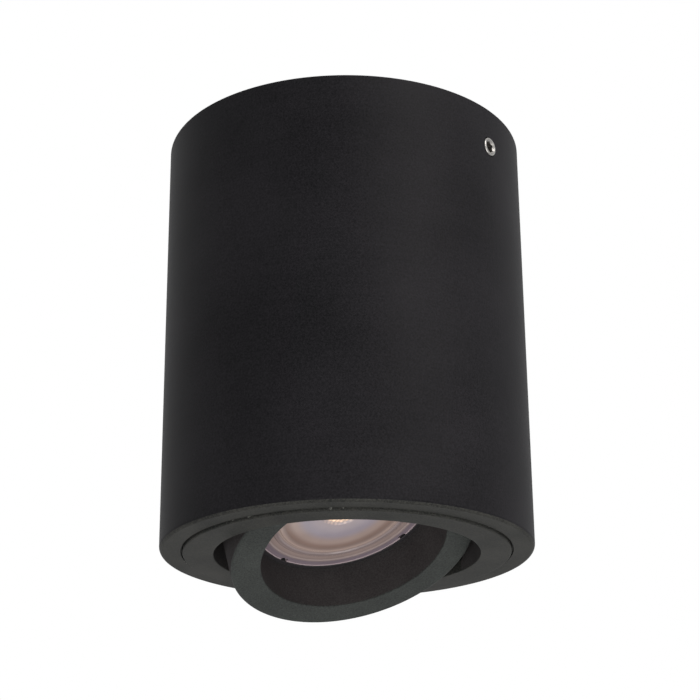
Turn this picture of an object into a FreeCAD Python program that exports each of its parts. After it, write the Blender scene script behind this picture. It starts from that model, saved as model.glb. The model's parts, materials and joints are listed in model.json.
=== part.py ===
import FreeCAD, Part
import math
import os

import Sketcher
from FreeCAD import Placement, Rotation, Vector

# Surface mounted ceiling spotlight, drawn in millimetres.
# The origin is the centre of the ceiling plane, +Z points up and the light hangs below. The X axis runs
# through the two grub screws and the two ceiling slots.

# ---------------------------------------------------------------- driving sizes
SIZES = {
    # housing
    "body_height": 112.5,
    "body_wall": 3.0,
    "foot_radius": 1.1,
    "top_radius": 0.3,
    "lip_width": 5.5,
    "lip_thickness": 2.8,
    "seat_width": 2.0,
    "seat_depth": 2.2,
    "ring_gap": 0.4,
    # front ring
    "bezel_width": 7.95,
    "bezel_thickness": 2.8,
    "bezel_edge": 0.3,
    "cup_gap": 2.05,
    "ear_width": 12.0,
    "ear_thickness": 2.6,
    "ear_clearance": 0.25,
    "turn_azimuth": -17.92,
    # lamp ring
    "tilt_angle": 23.6,
    "pivot_depth": 8.5,
    "cup_height": 16.0,
    "cup_wall": 2.2,
    "hollow_width": 2.6,
    "face_thickness": 3.0,
    "cup_edge": 0.4,
    "ledge_width": 0.6,
    "lens_depth": 12.4,
    "barrel_wall": 2.0,
    "barrel_height": 20.5,
    "lamp_clearance": 0.3,
    "boss_width": 9.0,
    "boss_root": 1.0,
    "boss_proud": 0.5,
    # pivots
    "pivot_screw_diameter": 3.0,
    "pivot_head_diameter": 5.6,
    "pivot_head_height": 1.6,
    "pivot_web": 0.5,
    "pivot_bearing_length": 6.0,
    "pivot_running_gap": 0.05,
    "washer_diameter": 7.0,
    "washer_thickness": 1.6,
    "key_size": 2.0,
    # leaf springs
    "spring_width": 8.0,
    "spring_thickness": 0.5,
    "spring_rise": 13.0,
    "spring_toe": 0.3,
    "spring_foot": 5.9,
    "spring_hook": 1.9,
    "spring_tail": 2.4,
    "spring_tail_rise": 3.2,
    "spring_screw_inset": 2.1,
    "spring_wall_gap": 0.3,
    "spring_screw_diameter": 2.0,
    "spring_screw_length": 2.4,
    "spring_head_diameter": 3.4,
    "spring_head_height": 1.1,
    # grub screws
    "grub_diameter": 5.0,
    "grub_length": 6.0,
    "grub_key": 2.6,
    "grub_key_depth": 2.6,
    "grub_proud": 0.25,
    "grub_chamfer": 0.4,
    "grub_depth_below_ceiling": 11.0,
    "thread_gap": 0.05,
    # mounting plate
    "plate_edge_gap": 1.5,
    "plate_thickness": 1.5,
    "plate_ear_width": 12.0,
    "plate_ear_height": 16.0,
    "plate_wall_gap": 0.8,
    "slot_spacing": 60.0,
    "slot_length": 12.0,
    "slot_width": 4.6,
    "entry_diameter": 13.0,
    # grommet
    "grommet_wall": 2.4,
    "grommet_gap": 0.1,
    "grommet_recess": 0.2,
    "grommet_flange": 2.0,
    "grommet_flange_thickness": 1.2,
    "grommet_lip": 1.2,
    "grommet_height": 4.5,
    # terminal block
    "block_length": 28.0,
    "block_width": 16.0,
    "block_height": 13.0,
    "block_inset": 18.5,
    "pole_pitch": 9.0,
    "sleeve_diameter": 5.4,
    "sleeve_bore": 3.4,
    "sleeve_level": 7.4,
    "sleeve_inset": 1.0,
    "sleeve_gap": 0.05,
    "terminal_screw_diameter": 3.0,
    "terminal_screw_spacing": 8.0,
    "screw_recess": 0.6,
    "waist_width": 1.6,
    "fixing_screw_diameter": 3.0,
    "fixing_head_diameter": 5.4,
    "fixing_head_height": 1.7,
    "slit_width": 0.6,
    "slit_depth": 0.7,
    # earth point
    "earth_inset": 16.5,
    "earth_screw_diameter": 4.0,
    "earth_head_diameter": 8.0,
    "earth_head_height": 2.6,
    "earth_washer_thickness": 0.8,
    "earth_lug_thickness": 0.8,
    "earth_lug_azimuth": -43.0,
    "earth_ring_width": 2.0,
    "earth_bridge_width": 3.0,
    "crimp_diameter": 3.4,
    "crimp_length": 6.0,
    "crimp_start": 7.5,
    "crimp_gap": 0.1,
    # lamp
    "lamp_diameter": 50.0,
    "lamp_length": 46.5,
    "lens_gap": 0.1,
    "lamp_rim_width": 1.65,
    "lamp_rim_height": 6.0,
    "lamp_rim_step": 1.4,
    "lamp_neck_taper": 9.5,
    "lamp_neck_level": 33.0,
    "lamp_neck_height": 3.0,
    "lamp_wall": 2.6,
    "fin_count": 16.0,
    "fin_width": 1.4,
    "fin_depth": 1.2,
    "board_level": 13.5,
    "board_thickness": 1.6,
    "board_inset": 8.5,
    "sink_floor": 2.0,
    "base_wall": 1.6,
    "base_gap": 0.05,
    "base_socket": 2.0,
    "base_step": 2.5,
    "base_taper": 3.0,
    "base_taper_height": 6.0,
    "pin_spacing": 10.0,
    "pin_diameter": 2.6,
    "pin_head_diameter": 5.0,
    "pin_length": 6.8,
    "notch_width": 2.0,
    "notch_depth": 1.0,
    "notch_azimuth": 12.7,
    "core_radius": 5.5,
    "core_depth": 0.8,
    "lens_edge": 1.6,
    "lens_height": 11.5,
    "lens_foot_radius": 8.5,
    "led_pocket_radius": 6.0,
    "led_pocket_depth": 6.2,
    "chip_side": 7.0,
    "chip_height": 0.8,
    "driver_width": 17.0,
    "driver_height": 20.0,
    "driver_thickness": 1.2,
    "clip_wire": 1.2,
    "clip_gap": 0.1,
    "clip_opening": 40.0,
    # lamp holder
    "holder_length": 31.0,
    "holder_width": 17.0,
    "holder_height": 13.0,
    "holder_cover_height": 4.5,
    "holder_corner": 3.0,
    "holder_edge": 0.8,
    "holder_screw_diameter": 2.5,
    "holder_screw_inset": 3.0,
    "holder_screw_grip": 4.0,
    "holder_head_diameter": 4.6,
    "holder_head_height": 1.5,
    "holder_recess": 2.0,
    "contact_thickness": 0.4,
    "contact_width": 4.0,
    # leads
    "lead_diameter": 1.9,
    "lead_spacing": 5.0,
    "lead_grip": 5.0,
    "lead_straight": 3.0,
    "earth_bow_across": 15.5,
    "earth_bow_back": 4.0,
    "earth_bow_drop": 8.0,
    "lug_run": 22.0,
    "twin_spacing": 3.4,
    "twin_top_drop": 14.0,
    "twin_low_drop": 27.5,
    "twin_sag_drop": 31.0,
    "twin_swing": 7.4,
    "twin_rise_drop": 24.0,
    "twin_reach": 22.1,
    "holder_run": 12.0,
}

# Radii that follow from each other, from the lamp outwards.
DERIVED = {
    "lamp_radius": "lamp_diameter / 2",
    "lens_radius": "lamp_radius - lamp_rim_width - lens_gap",
    "bore_radius": "lamp_radius - ledge_width",
    "pocket_radius": "lamp_radius + lamp_clearance",
    "barrel_radius": "pocket_radius + barrel_wall",
    "cup_radius": "barrel_radius + hollow_width + cup_wall",
    "boss_radius": "cup_radius + boss_proud",
    "ear_radius": "boss_radius + washer_thickness + ear_clearance",
    "bezel_bore_radius": "cup_radius + cup_gap",
    "bezel_radius": "bezel_bore_radius + bezel_width",
    "seat_radius": "bezel_radius + ring_gap",
    "shoulder_radius": "seat_radius - seat_width",
    "body_radius": "seat_radius + lip_width",
    "wall_radius": "body_radius - body_wall",
    "plate_radius": "wall_radius - plate_edge_gap",
    "block_offset": "plate_radius - block_inset",
    "earth_offset": "plate_radius - earth_inset",
    "grommet_bore_radius": "entry_diameter / 2 - grommet_gap - grommet_wall",
    "neck_radius": "lamp_radius - lamp_neck_taper",
}

doc = FreeCAD.newDocument("CeilingSpotlight")
sheet = doc.addObject("Spreadsheet::Sheet", "Sizes")
for row, (alias, value) in enumerate(SIZES.items(), start=1):
    sheet.set(f"A{row}", alias)
    sheet.set(f"B{row}", str(value))
    sheet.setAlias(f"B{row}", alias)
for row, (alias, formula) in enumerate(DERIVED.items(), start=len(SIZES) + 1):
    sheet.set(f"A{row}", alias)
    sheet.set(f"B{row}", "=" + formula)
    sheet.setAlias(f"B{row}", alias)
doc.recompute()


def size(alias):
    """One size, read from the sheet."""
    return float(sheet.get(alias))


# ---------------------------------------------------------------- places worked out from the sizes
MOUTH = -size("body_height")
SEAT_LEVEL = MOUTH + size("seat_depth")
PIVOT_LEVEL = SEAT_LEVEL - size("bezel_thickness") + size("pivot_depth")
LENS_LEVEL = size("lens_depth") - size("pivot_depth")
LAMP_TOP = LENS_LEVEL + size("lamp_length")
HOLDER_TOP = LAMP_TOP + size("holder_height") + size("holder_cover_height")
BLOCK_FLOOR = -size("plate_thickness") - size("block_height")
GRUB_LEVEL = -size("grub_depth_below_ceiling")

ROOT_POSE = Placement()
RING_POSE = Placement(Vector(0, 0, 0), Rotation(Vector(0, 0, 1), size("turn_azimuth")))
PIVOT_POSE = Placement(Vector(0, 0, PIVOT_LEVEL), Rotation(Vector(0, 0, 1), size("turn_azimuth")))
HEAD_POSE = Placement(
    Vector(0, 0, PIVOT_LEVEL),
    Rotation(Vector(0, 0, 1), size("turn_azimuth")) * Rotation(Vector(0, -1, 0), size("tilt_angle")),
)

subparts = []


# ---------------------------------------------------------------- shared helpers
def keep(obj, label, pose):
    """Name a finished sub-part and put it in its rest place."""
    obj.Label = label
    obj.Placement = pose
    subparts.append(obj)
    return obj


def new_body(name):
    """An empty body, with its origin planes."""
    return doc.addObject("PartDesign::Body", name)


def plane(body, role):
    """One of a body's own origin planes, found by its role."""
    return next(item for item in body.Origin.OriginFeatures if item.Role == role)


def new_sketch(body, name, role="XZ_Plane"):
    """A sketch on one of the body's origin planes."""
    sketch = body.newObject("Sketcher::SketchObject", name)
    sketch.AttachmentSupport = [(plane(body, role), "")]
    sketch.MapMode = "FlatFace"
    return sketch


def place_point(sketch, geometry, vertex, across, up):
    """Hold one point of a sketch at two expressions, measured from the sketch's origin."""
    here = sketch.getPoint(geometry, vertex)
    for kind, formula, start in (("DistanceX", across, here.x), ("DistanceY", up, here.y)):
        index = sketch.addConstraint(Sketcher.Constraint(kind, -1, 1, geometry, vertex, start))
        sketch.setExpression(f"Constraints[{index}]", formula)


def outline(sketch, corners):
    """A closed outline of straight edges, each corner placed by two expressions."""
    first = sketch.GeometryCount
    count = len(corners)
    ring = [Vector(20 + 9 * math.cos(2 * math.pi * i / count), 9 * math.sin(2 * math.pi * i / count), 0)
            for i in range(count)]
    for i in range(count):
        sketch.addGeometry(Part.LineSegment(ring[i], ring[(i + 1) % count]), False)
    for i in range(count):
        following = first + (i + 1) % count
        sketch.addConstraint(Sketcher.Constraint("Coincident", first + i, 2, following, 1))
    for i, (across, up) in enumerate(corners):
        place_point(sketch, first + i, 1, across, up)


def circle(sketch, across, up, radius):
    """A circle whose centre and radius are expressions."""
    index = sketch.addGeometry(Part.Circle(Vector(5, 5, 0), Vector(0, 0, 1), 2), False)
    place_point(sketch, index, 3, across, up)
    bound = sketch.addConstraint(Sketcher.Constraint("Radius", index, 2))
    sketch.setExpression(f"Constraints[{bound}]", radius)


def revolve(body, name, corners):
    """Turn an outline in the XZ plane about the body's Z axis."""
    sketch = new_sketch(body, name + "Profile")
    outline(sketch, corners)
    turned = body.newObject("PartDesign::Revolution", name)
    turned.Profile = sketch
    turned.ReferenceAxis = (sketch, ["V_Axis"])
    turned.Angle = 360
    sketch.Visibility = False
    return turned


def cut_through(body, sketch, name, length, both=True, backwards=False):
    """A pocket through a sketch, whose volume must go down."""
    doc.recompute()
    before = body.Shape.Volume
    pocket = body.newObject("PartDesign::Pocket", name)
    pocket.Profile = sketch
    pocket.Type = 0
    pocket.setExpression("Length", length)
    pocket.Midplane = both
    pocket.Reversed = backwards
    doc.recompute()
    assert body.Shape.Volume < before - 1e-6, name + " cuts nothing"
    return pocket


def raise_pad(body, sketch, name, length, backwards=False, both=False):
    """A pad over a sketch."""
    pad = body.newObject("PartDesign::Pad", name)
    pad.Profile = sketch
    pad.setExpression("Length", length)
    pad.Midplane = both
    pad.Reversed = backwards
    doc.recompute()
    return pad


def round_edges(body, feature, name, chosen, radius):
    """Round the edges of a feature that pass a test."""
    edges = [f"Edge{i}" for i, edge in enumerate(feature.Shape.Edges, start=1) if chosen(edge)]
    assert edges, name + " finds no edge"
    rounding = body.newObject("PartDesign::Fillet", name)
    rounding.Base = (feature, edges)
    rounding.setExpression("Radius", radius)
    doc.recompute()
    return rounding


def solid_feature(name, shape, label, pose):
    """A piece whose shape comes straight from the geometry functions."""
    obj = doc.addObject("Part::Feature", name)
    obj.Shape = shape
    return keep(obj, label, pose)


def rod(radius, length, base, direction=Vector(0, 0, 1)):
    """A round bar from base along direction."""
    return Part.makeCylinder(radius, length, base, direction)


def hex_prism(across_flats, length, base, direction):
    """A hexagonal bar, the shape of a key's socket."""
    radius = across_flats / math.sqrt(3)
    corners = [k * math.pi / 3 for k in range(7)]
    points = [Vector(radius * math.cos(a), radius * math.sin(a), 0) for a in corners]
    bar = Part.Face(Part.makePolygon(points)).extrude(Vector(0, 0, length))
    bar.Placement = Placement(base, Rotation(Vector(0, 0, 1), direction))
    return bar


def rounded_slab(length, width, height, corner, floor):
    """A slab centred on the Z axis with round upright corners."""
    slab = Part.makeBox(length, width, height, Vector(-length / 2, -width / 2, floor))
    upright = [e for e in slab.Edges if abs(e.Vertexes[0].Z - e.Vertexes[1].Z) > height / 2]
    return slab.makeFillet(corner, upright)


def turned_solid(points):
    """A solid of revolution about Z from (radius, level) points."""
    corners = [Vector(r, 0, z) for r, z in points]
    return Part.Face(Part.makePolygon(corners + corners[:1])).revolve(Vector(), Vector(0, 0, 1), 360)


def bent_strip(points, thickness, width):
    """A strip of sheet bent along (across, up) points, its width centred on the XZ plane."""
    def side(offset):
        line = []
        for i, here in enumerate(points):
            before = points[max(i - 1, 0)]
            after = points[min(i + 1, len(points) - 1)]
            one = Vector(here[0] - before[0], 0, here[1] - before[1])
            two = Vector(after[0] - here[0], 0, after[1] - here[1])
            one = one.normalize() if one.Length else Vector(two).normalize()
            two = two.normalize() if two.Length else Vector(one)
            normal = Vector(-(one.z + two.z), 0, one.x + two.x).normalize()
            stretch = normal.dot(Vector(-one.z, 0, one.x))
            line.append(Vector(here[0], 0, here[1]) + normal * (offset / stretch))
        return line
    edge = side(0.0) + side(thickness)[::-1]
    face = Part.Face(Part.makePolygon(edge + edge[:1]))
    face.translate(Vector(0, -width / 2, 0))
    return face.extrude(Vector(0, width, 0))


def lead(points, diameter):
    """A round lead along points, each corner rounded by an arc that touches both runs."""
    edges = []
    start = points[0]
    radii = []
    for here, before, after in zip(points[1:-1], points, points[2:]):
        back = (before - here).normalize()
        ahead = (after - here).normalize()
        half = math.acos(max(-1, min(1, -back.dot(ahead)))) / 2
        shorter = min((before - here).Length, (after - here).Length)
        radius = 0.45 * shorter / math.tan(half)
        reach = radius * math.tan(half)
        inward = (back + ahead).normalize()
        middle = here + inward * (radius / math.cos(half) - radius)
        edges.append(Part.LineSegment(start, here + back * reach).toShape())
        edges.append(Part.Arc(here + back * reach, middle, here + ahead * reach).toShape())
        start = here + ahead * reach
        radii.append(radius)
    edges.append(Part.LineSegment(start, points[-1]).toShape())
    path = Part.Wire(edges)
    section = Part.Wire(Part.makeCircle(diameter / 2, points[0], points[1] - points[0]))
    tube = path.makePipeShell([section], True, False)
    ideal = path.Length * math.pi * diameter ** 2 / 4
    print("lead radii", [round(r, 1) for r in radii], "volume ratio", round(tube.Volume / ideal, 4))
    return tube


# ---------------------------------------------------------------- housing
def make_tube_body():
    """The cast tube: a 3 mm wall, a wider lip at the mouth and a shoulder that the front ring seats on."""
    body = new_body("TubeBody")
    ledge = "-Sizes.body_height + Sizes.seat_depth"
    revolve(body, "TubeShell", [
        ("Sizes.body_radius", "0"),
        ("Sizes.wall_radius", "0"),
        ("Sizes.wall_radius", f"{ledge} + Sizes.lip_thickness + Sizes.wall_radius - Sizes.shoulder_radius"),
        ("Sizes.shoulder_radius", f"{ledge} + Sizes.lip_thickness"),
        ("Sizes.shoulder_radius", ledge),
        ("Sizes.seat_radius", ledge),
        ("Sizes.seat_radius", "-Sizes.body_height"),
        ("Sizes.body_radius", "-Sizes.body_height"),
    ])
    hole = new_sketch(body, "GrubHoleSketch", "YZ_Plane")
    circle(hole, "0", "-Sizes.grub_depth_below_ceiling", "Sizes.grub_diameter / 2 + Sizes.thread_gap")
    cut_through(body, hole, "GrubHoles", "3 * Sizes.body_radius")

    def full_circle_at(level):
        def on_rim(edge):
            box = edge.BoundBox
            wide = isinstance(edge.Curve, Part.Circle) and abs(edge.Curve.Radius - size("body_radius")) < 1e-3
            return wide and abs(box.ZMin - level) < 1e-3 and abs(box.ZMax - level) < 1e-3
        return on_rim
    drilled = doc.getObject("GrubHoles")
    foot = round_edges(body, drilled, "FootRounding", full_circle_at(MOUTH), "Sizes.foot_radius")
    round_edges(body, foot, "TopRounding", full_circle_at(0), "Sizes.top_radius")
    keep(body, "tube_body", ROOT_POSE)


def make_grub_screws():
    """Two hex-socket grub screws through the wall into the plate's ears, one on each side."""
    radius = size("grub_diameter") / 2
    outer = size("body_radius") + size("grub_proud")
    screws = []
    for side in (1, -1):
        out = Vector(side, 0, 0)
        tip = out * (outer - size("grub_length")) + Vector(0, 0, GRUB_LEVEL)
        shank = rod(radius, size("grub_length"), tip, out)
        ends = [e for e in shank.Edges if isinstance(e.Curve, Part.Circle)]
        shank = shank.makeChamfer(size("grub_chamfer"), ends)
        mouth = out * outer + Vector(0, 0, GRUB_LEVEL)
        screws.append(shank.cut(hex_prism(size("grub_key"), size("grub_key_depth"), mouth, out * -1)))
    solid_feature("GrubScrews", Part.makeCompound(screws), "grub_screws", ROOT_POSE)


def make_mounting_plate():
    """The steel plate: a disc with two slots, a cable hole, and two ears bent down inside the tube."""
    body = new_body("MountingPlate")
    sketch = new_sketch(body, "PlateOutline", "XY_Plane")
    circle(sketch, "0", "0", "Sizes.plate_radius")
    circle(sketch, "0", "0", "Sizes.entry_diameter / 2")
    raise_pad(body, sketch, "PlateDisc", "Sizes.plate_thickness", backwards=True)
    ear = new_sketch(body, "EarOutline", "XZ_Plane")
    outer = "Sizes.wall_radius - Sizes.plate_wall_gap"
    inner = f"{outer} - Sizes.plate_thickness"
    for sign in ("", "-"):
        outline(ear, [(f"{sign}({inner})", "0"), (f"{sign}({inner})", "-Sizes.plate_ear_height"),
                      (f"{sign}({outer})", "-Sizes.plate_ear_height"), (f"{sign}({outer})", "0")])
    raise_pad(body, ear, "PlateEars", "Sizes.plate_ear_width", both=True)
    slots = new_sketch(body, "SlotOutline", "XY_Plane")
    flat = "(Sizes.slot_length - Sizes.slot_width) / 2"
    for sign in ("", "-"):
        middle = f"{sign}Sizes.slot_spacing / 2"
        near, far, half = f"{middle} - {flat}", f"{middle} + {flat}", "Sizes.slot_width / 2"
        outline(slots, [(near, "-" + half), (far, "-" + half), (far, half), (near, half)])
    cut_through(body, slots, "SlotMiddles", "4 * Sizes.plate_thickness")
    for end, shift in (("Outer", "+"), ("Inner", "-")):
        ends = new_sketch(body, f"Slot{end}Ends", "XY_Plane")
        circle(ends, f"Sizes.slot_spacing / 2 {shift} {flat}", "0", "Sizes.slot_width / 2")
        circle(ends, f"-(Sizes.slot_spacing / 2 {shift} {flat})", "0", "Sizes.slot_width / 2")
        cut_through(body, ends, f"Slot{end}Rounds", "4 * Sizes.plate_thickness")
    taps = new_sketch(body, "TapSketch", "XY_Plane")
    earth_tap = "Sizes.earth_screw_diameter / 2 + Sizes.thread_gap"
    block_tap = "Sizes.fixing_screw_diameter / 2 + Sizes.thread_gap"
    circle(taps, "0", "Sizes.earth_offset", earth_tap)
    circle(taps, "Sizes.pole_pitch / 2", "-Sizes.block_offset", block_tap)
    cut_through(body, taps, "TappedHoles", "4 * Sizes.plate_thickness")
    grub = new_sketch(body, "EarTapSketch", "YZ_Plane")
    circle(grub, "0", "-Sizes.grub_depth_below_ceiling", "Sizes.grub_diameter / 2 + Sizes.thread_gap")
    cut_through(body, grub, "EarTaps", "3 * Sizes.body_radius")
    keep(body, "mounting_plate", ROOT_POSE)


def make_cable_grommet():
    """The rubber grommet in the plate's cable hole, just under the ceiling face."""
    body = new_body("CableGrommet")
    neck = "Sizes.entry_diameter / 2 - Sizes.grommet_gap"
    flange = "Sizes.entry_diameter / 2 + Sizes.grommet_flange"
    revolve(body, "GrommetTurned", [
        ("Sizes.grommet_bore_radius", "-Sizes.grommet_recess"),
        (neck, "-Sizes.grommet_recess"),
        (neck, "-Sizes.plate_thickness"),
        (flange, "-Sizes.plate_thickness"),
        (flange, "-Sizes.plate_thickness - Sizes.grommet_flange_thickness"),
        ("Sizes.grommet_bore_radius + Sizes.grommet_lip", "-Sizes.grommet_height"),
        ("Sizes.grommet_bore_radius", "-Sizes.grommet_height"),
    ])
    doc.recompute()
    keep(body, "cable_grommet", ROOT_POSE)


def pole_places():
    """The middles of the terminal block's poles along X."""
    return [k * size("pole_pitch") for k in (-1, 0, 1)]


def slotted_screw(radius, length, head_radius, head_height, base):
    """A slotted screw: its shank rises from base, its head hangs below base and has a straight slit."""
    down = Vector(0, 0, -head_height)
    screw = rod(radius, length, base).fuse(rod(head_radius, head_height, base + down)).removeSplitter()
    width = size("slit_width")
    corner = base + down + Vector(-head_radius, -width / 2, -size("slit_depth"))
    return screw.cut(Part.makeBox(2 * head_radius, width, 2 * size("slit_depth"), corner))


def make_terminal_block():
    """A three-pole terminal block under the plate, with its sleeves, clamp screws and fixing screw."""
    width = size("block_width")
    height = size("block_height")
    y = -size("block_offset")
    level = BLOCK_FLOOR + height - size("sleeve_level")
    sleeve_r = size("sleeve_diameter") / 2
    screw_r = size("terminal_screw_diameter") / 2
    recess = size("screw_recess")
    pitch = size("pole_pitch")
    gap = size("thread_gap")
    along = Vector(0, 1, 0)
    block = Part.makeBox(size("block_length"), width, height,
                         Vector(-size("block_length") / 2, y - width / 2, BLOCK_FLOOR))
    fixing_r = size("fixing_screw_diameter") / 2
    head_r = size("fixing_head_diameter") / 2
    head_height = size("fixing_head_height")
    column = Vector(pitch / 2, y, BLOCK_FLOOR)
    waist_width = size("waist_width")
    for x in (-pitch / 2, pitch / 2):
        corner = Vector(x - waist_width / 2, y - width / 2, BLOCK_FLOOR)
        waist = Part.makeBox(waist_width, width, height / 2, corner)
        block = block.cut(waist.cut(rod(head_r + 1, height, column)))
    block = block.cut(rod(fixing_r + gap, height, column))
    block = block.cut(rod(head_r + 0.2, head_height + recess, column))
    fixing_length = height - recess - head_height + size("plate_thickness") / 2
    fixing_base = column + Vector(0, 0, recess + head_height)
    fixing = slotted_screw(fixing_r, fixing_length, head_r, head_height, fixing_base)
    solid_feature("BlockScrew", fixing, "block_screw", ROOT_POSE)
    for x in pole_places():
        front = Vector(x, y - width / 2, level)
        block = block.cut(rod(sleeve_r + size("sleeve_gap"), width, front, along))
        for side in (-1, 1):
            foot = Vector(x, y + side * size("terminal_screw_spacing") / 2, BLOCK_FLOOR)
            block = block.cut(rod(screw_r + recess, level - BLOCK_FLOOR, foot))
    solid_feature("TerminalBlock", block, "terminal_block", ROOT_POSE)

    sleeves = []
    screws = []
    screw_length = level - size("lead_diameter") / 2 - gap - BLOCK_FLOOR - recess
    for x in pole_places():
        front = Vector(x, y - width / 2 + size("sleeve_inset"), level)
        sleeve = rod(sleeve_r, width - 2 * size("sleeve_inset"), front, along)
        sleeve = sleeve.cut(rod(size("sleeve_bore") / 2, width, front, along))
        for side in (-1, 1):
            place = Vector(x, y + side * size("terminal_screw_spacing") / 2, BLOCK_FLOOR + recess)
            sleeve = sleeve.cut(rod(screw_r, level - BLOCK_FLOOR - recess, place))
            screw = rod(screw_r - gap, screw_length, place)
            slit = Part.makeBox(2 * screw_r, size("slit_width"), size("slit_depth"),
                                place - Vector(screw_r, size("slit_width") / 2, 0))
            screws.append(screw.cut(slit))
        sleeves.append(sleeve)
    solid_feature("TerminalSleeves", Part.makeCompound(sleeves), "terminal_sleeves", ROOT_POSE)
    solid_feature("TerminalScrews", Part.makeCompound(screws), "terminal_screws", ROOT_POSE)


# ---------------------------------------------------------------- front ring
def make_front_ring():
    """The disc in the mouth: a flat bezel with two upright ears that carry the pivots."""
    body = new_body("FrontRing")
    face = "-Sizes.body_height + Sizes.seat_depth - Sizes.bezel_thickness"
    seat = "-Sizes.body_height + Sizes.seat_depth"
    revolve(body, "BezelTurned", [
        ("Sizes.bezel_bore_radius", face),
        ("Sizes.bezel_radius - Sizes.bezel_edge", face),
        ("Sizes.bezel_radius", f"{face} + Sizes.bezel_edge"),
        ("Sizes.bezel_radius", seat),
        ("Sizes.bezel_bore_radius", seat),
    ])
    doc.recompute()
    ear = new_sketch(body, "EarSketch", "YZ_Plane")
    level = f"{face} + Sizes.pivot_depth"
    top = f"{level} + Sizes.ear_width / 2"
    for sign in ("", "-"):
        near = f"{sign}Sizes.ear_radius"
        far = f"{sign}(Sizes.ear_radius + Sizes.ear_thickness)"
        outline(ear, [(near, seat), (near, top), (far, top), (far, seat)])
    raise_pad(body, ear, "Ears", "Sizes.ear_width", both=True)
    hole = new_sketch(body, "PivotSketch", "XZ_Plane")
    circle(hole, "0", level, "Sizes.pivot_screw_diameter / 2 + Sizes.thread_gap")
    cut_through(body, hole, "PivotTaps", "2 * Sizes.body_radius")
    ear_top = PIVOT_LEVEL + size("ear_width") / 2

    def ear_corner(edge):
        box = edge.BoundBox
        across = box.XLength < 0.01 and abs(box.YLength - size("ear_thickness")) < 0.01
        return across and box.ZMin > ear_top - 0.01
    round_edges(body, doc.getObject("PivotTaps"), "EarRounding", ear_corner, "Sizes.ear_width / 2 - 0.6")
    taps = new_sketch(body, "SpringTapSketch", "XY_Plane")
    screw_r = "Sizes.spring_screw_diameter / 2 + Sizes.thread_gap"
    place = "Sizes.bezel_bore_radius + Sizes.spring_screw_inset"
    circle(taps, place, "0", screw_r)
    circle(taps, f"-({place})", "0", screw_r)
    tapped = body.newObject("PartDesign::Pocket", "SpringTaps")
    tapped.Profile = taps
    tapped.Type = 0
    tapped.setExpression("Length", f"-({seat}) + Sizes.spring_screw_length")
    before = body.Shape.Volume
    doc.recompute()
    assert body.Shape.Volume < before, "the spring taps cut nothing"
    keep(body, "front_ring", RING_POSE)


def make_retaining_springs():
    """Two leaf springs that hook over the shoulder and press on the wall, with the screws that hold them."""
    bore_r = size("bezel_bore_radius")
    thick = size("spring_thickness")
    foot_out = bore_r + size("spring_foot")
    knee = SEAT_LEVEL + size("lip_thickness") + size("spring_hook")
    peak = SEAT_LEVEL + size("spring_rise")
    reach = size("wall_radius") - size("spring_wall_gap")
    toe = bore_r + size("spring_toe")
    tail = (reach - size("spring_tail"), peak + size("spring_tail_rise"))
    line = [(toe, SEAT_LEVEL), (foot_out, SEAT_LEVEL), (foot_out, knee), (reach, peak), tail]
    screw_r = size("spring_screw_diameter") / 2
    head_r = size("spring_head_diameter") / 2
    length = size("spring_screw_length")
    axis = Vector(bore_r + size("spring_screw_inset"), 0, SEAT_LEVEL + thick)
    springs = []
    screws = []
    for side in (0, 180):
        turn = Placement(Vector(), Rotation(Vector(0, 0, 1), side))
        strip = bent_strip(line, thick, size("spring_width"))
        strip = strip.cut(rod(screw_r + 2 * size("thread_gap"), 2 * thick, axis - Vector(0, 0, 1.5 * thick)))
        strip.Placement = turn
        springs.append(strip)
        screw = slotted_screw(screw_r, length, head_r, size("spring_head_height"), Vector())
        screw.Placement = turn * Placement(axis, Rotation(Vector(1, 0, 0), 180))
        screws.append(screw)
    solid_feature("RetainingSprings", Part.makeCompound(springs), "retaining_springs", RING_POSE)
    solid_feature("SpringScrews", Part.makeCompound(screws), "spring_screws", RING_POSE)


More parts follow.
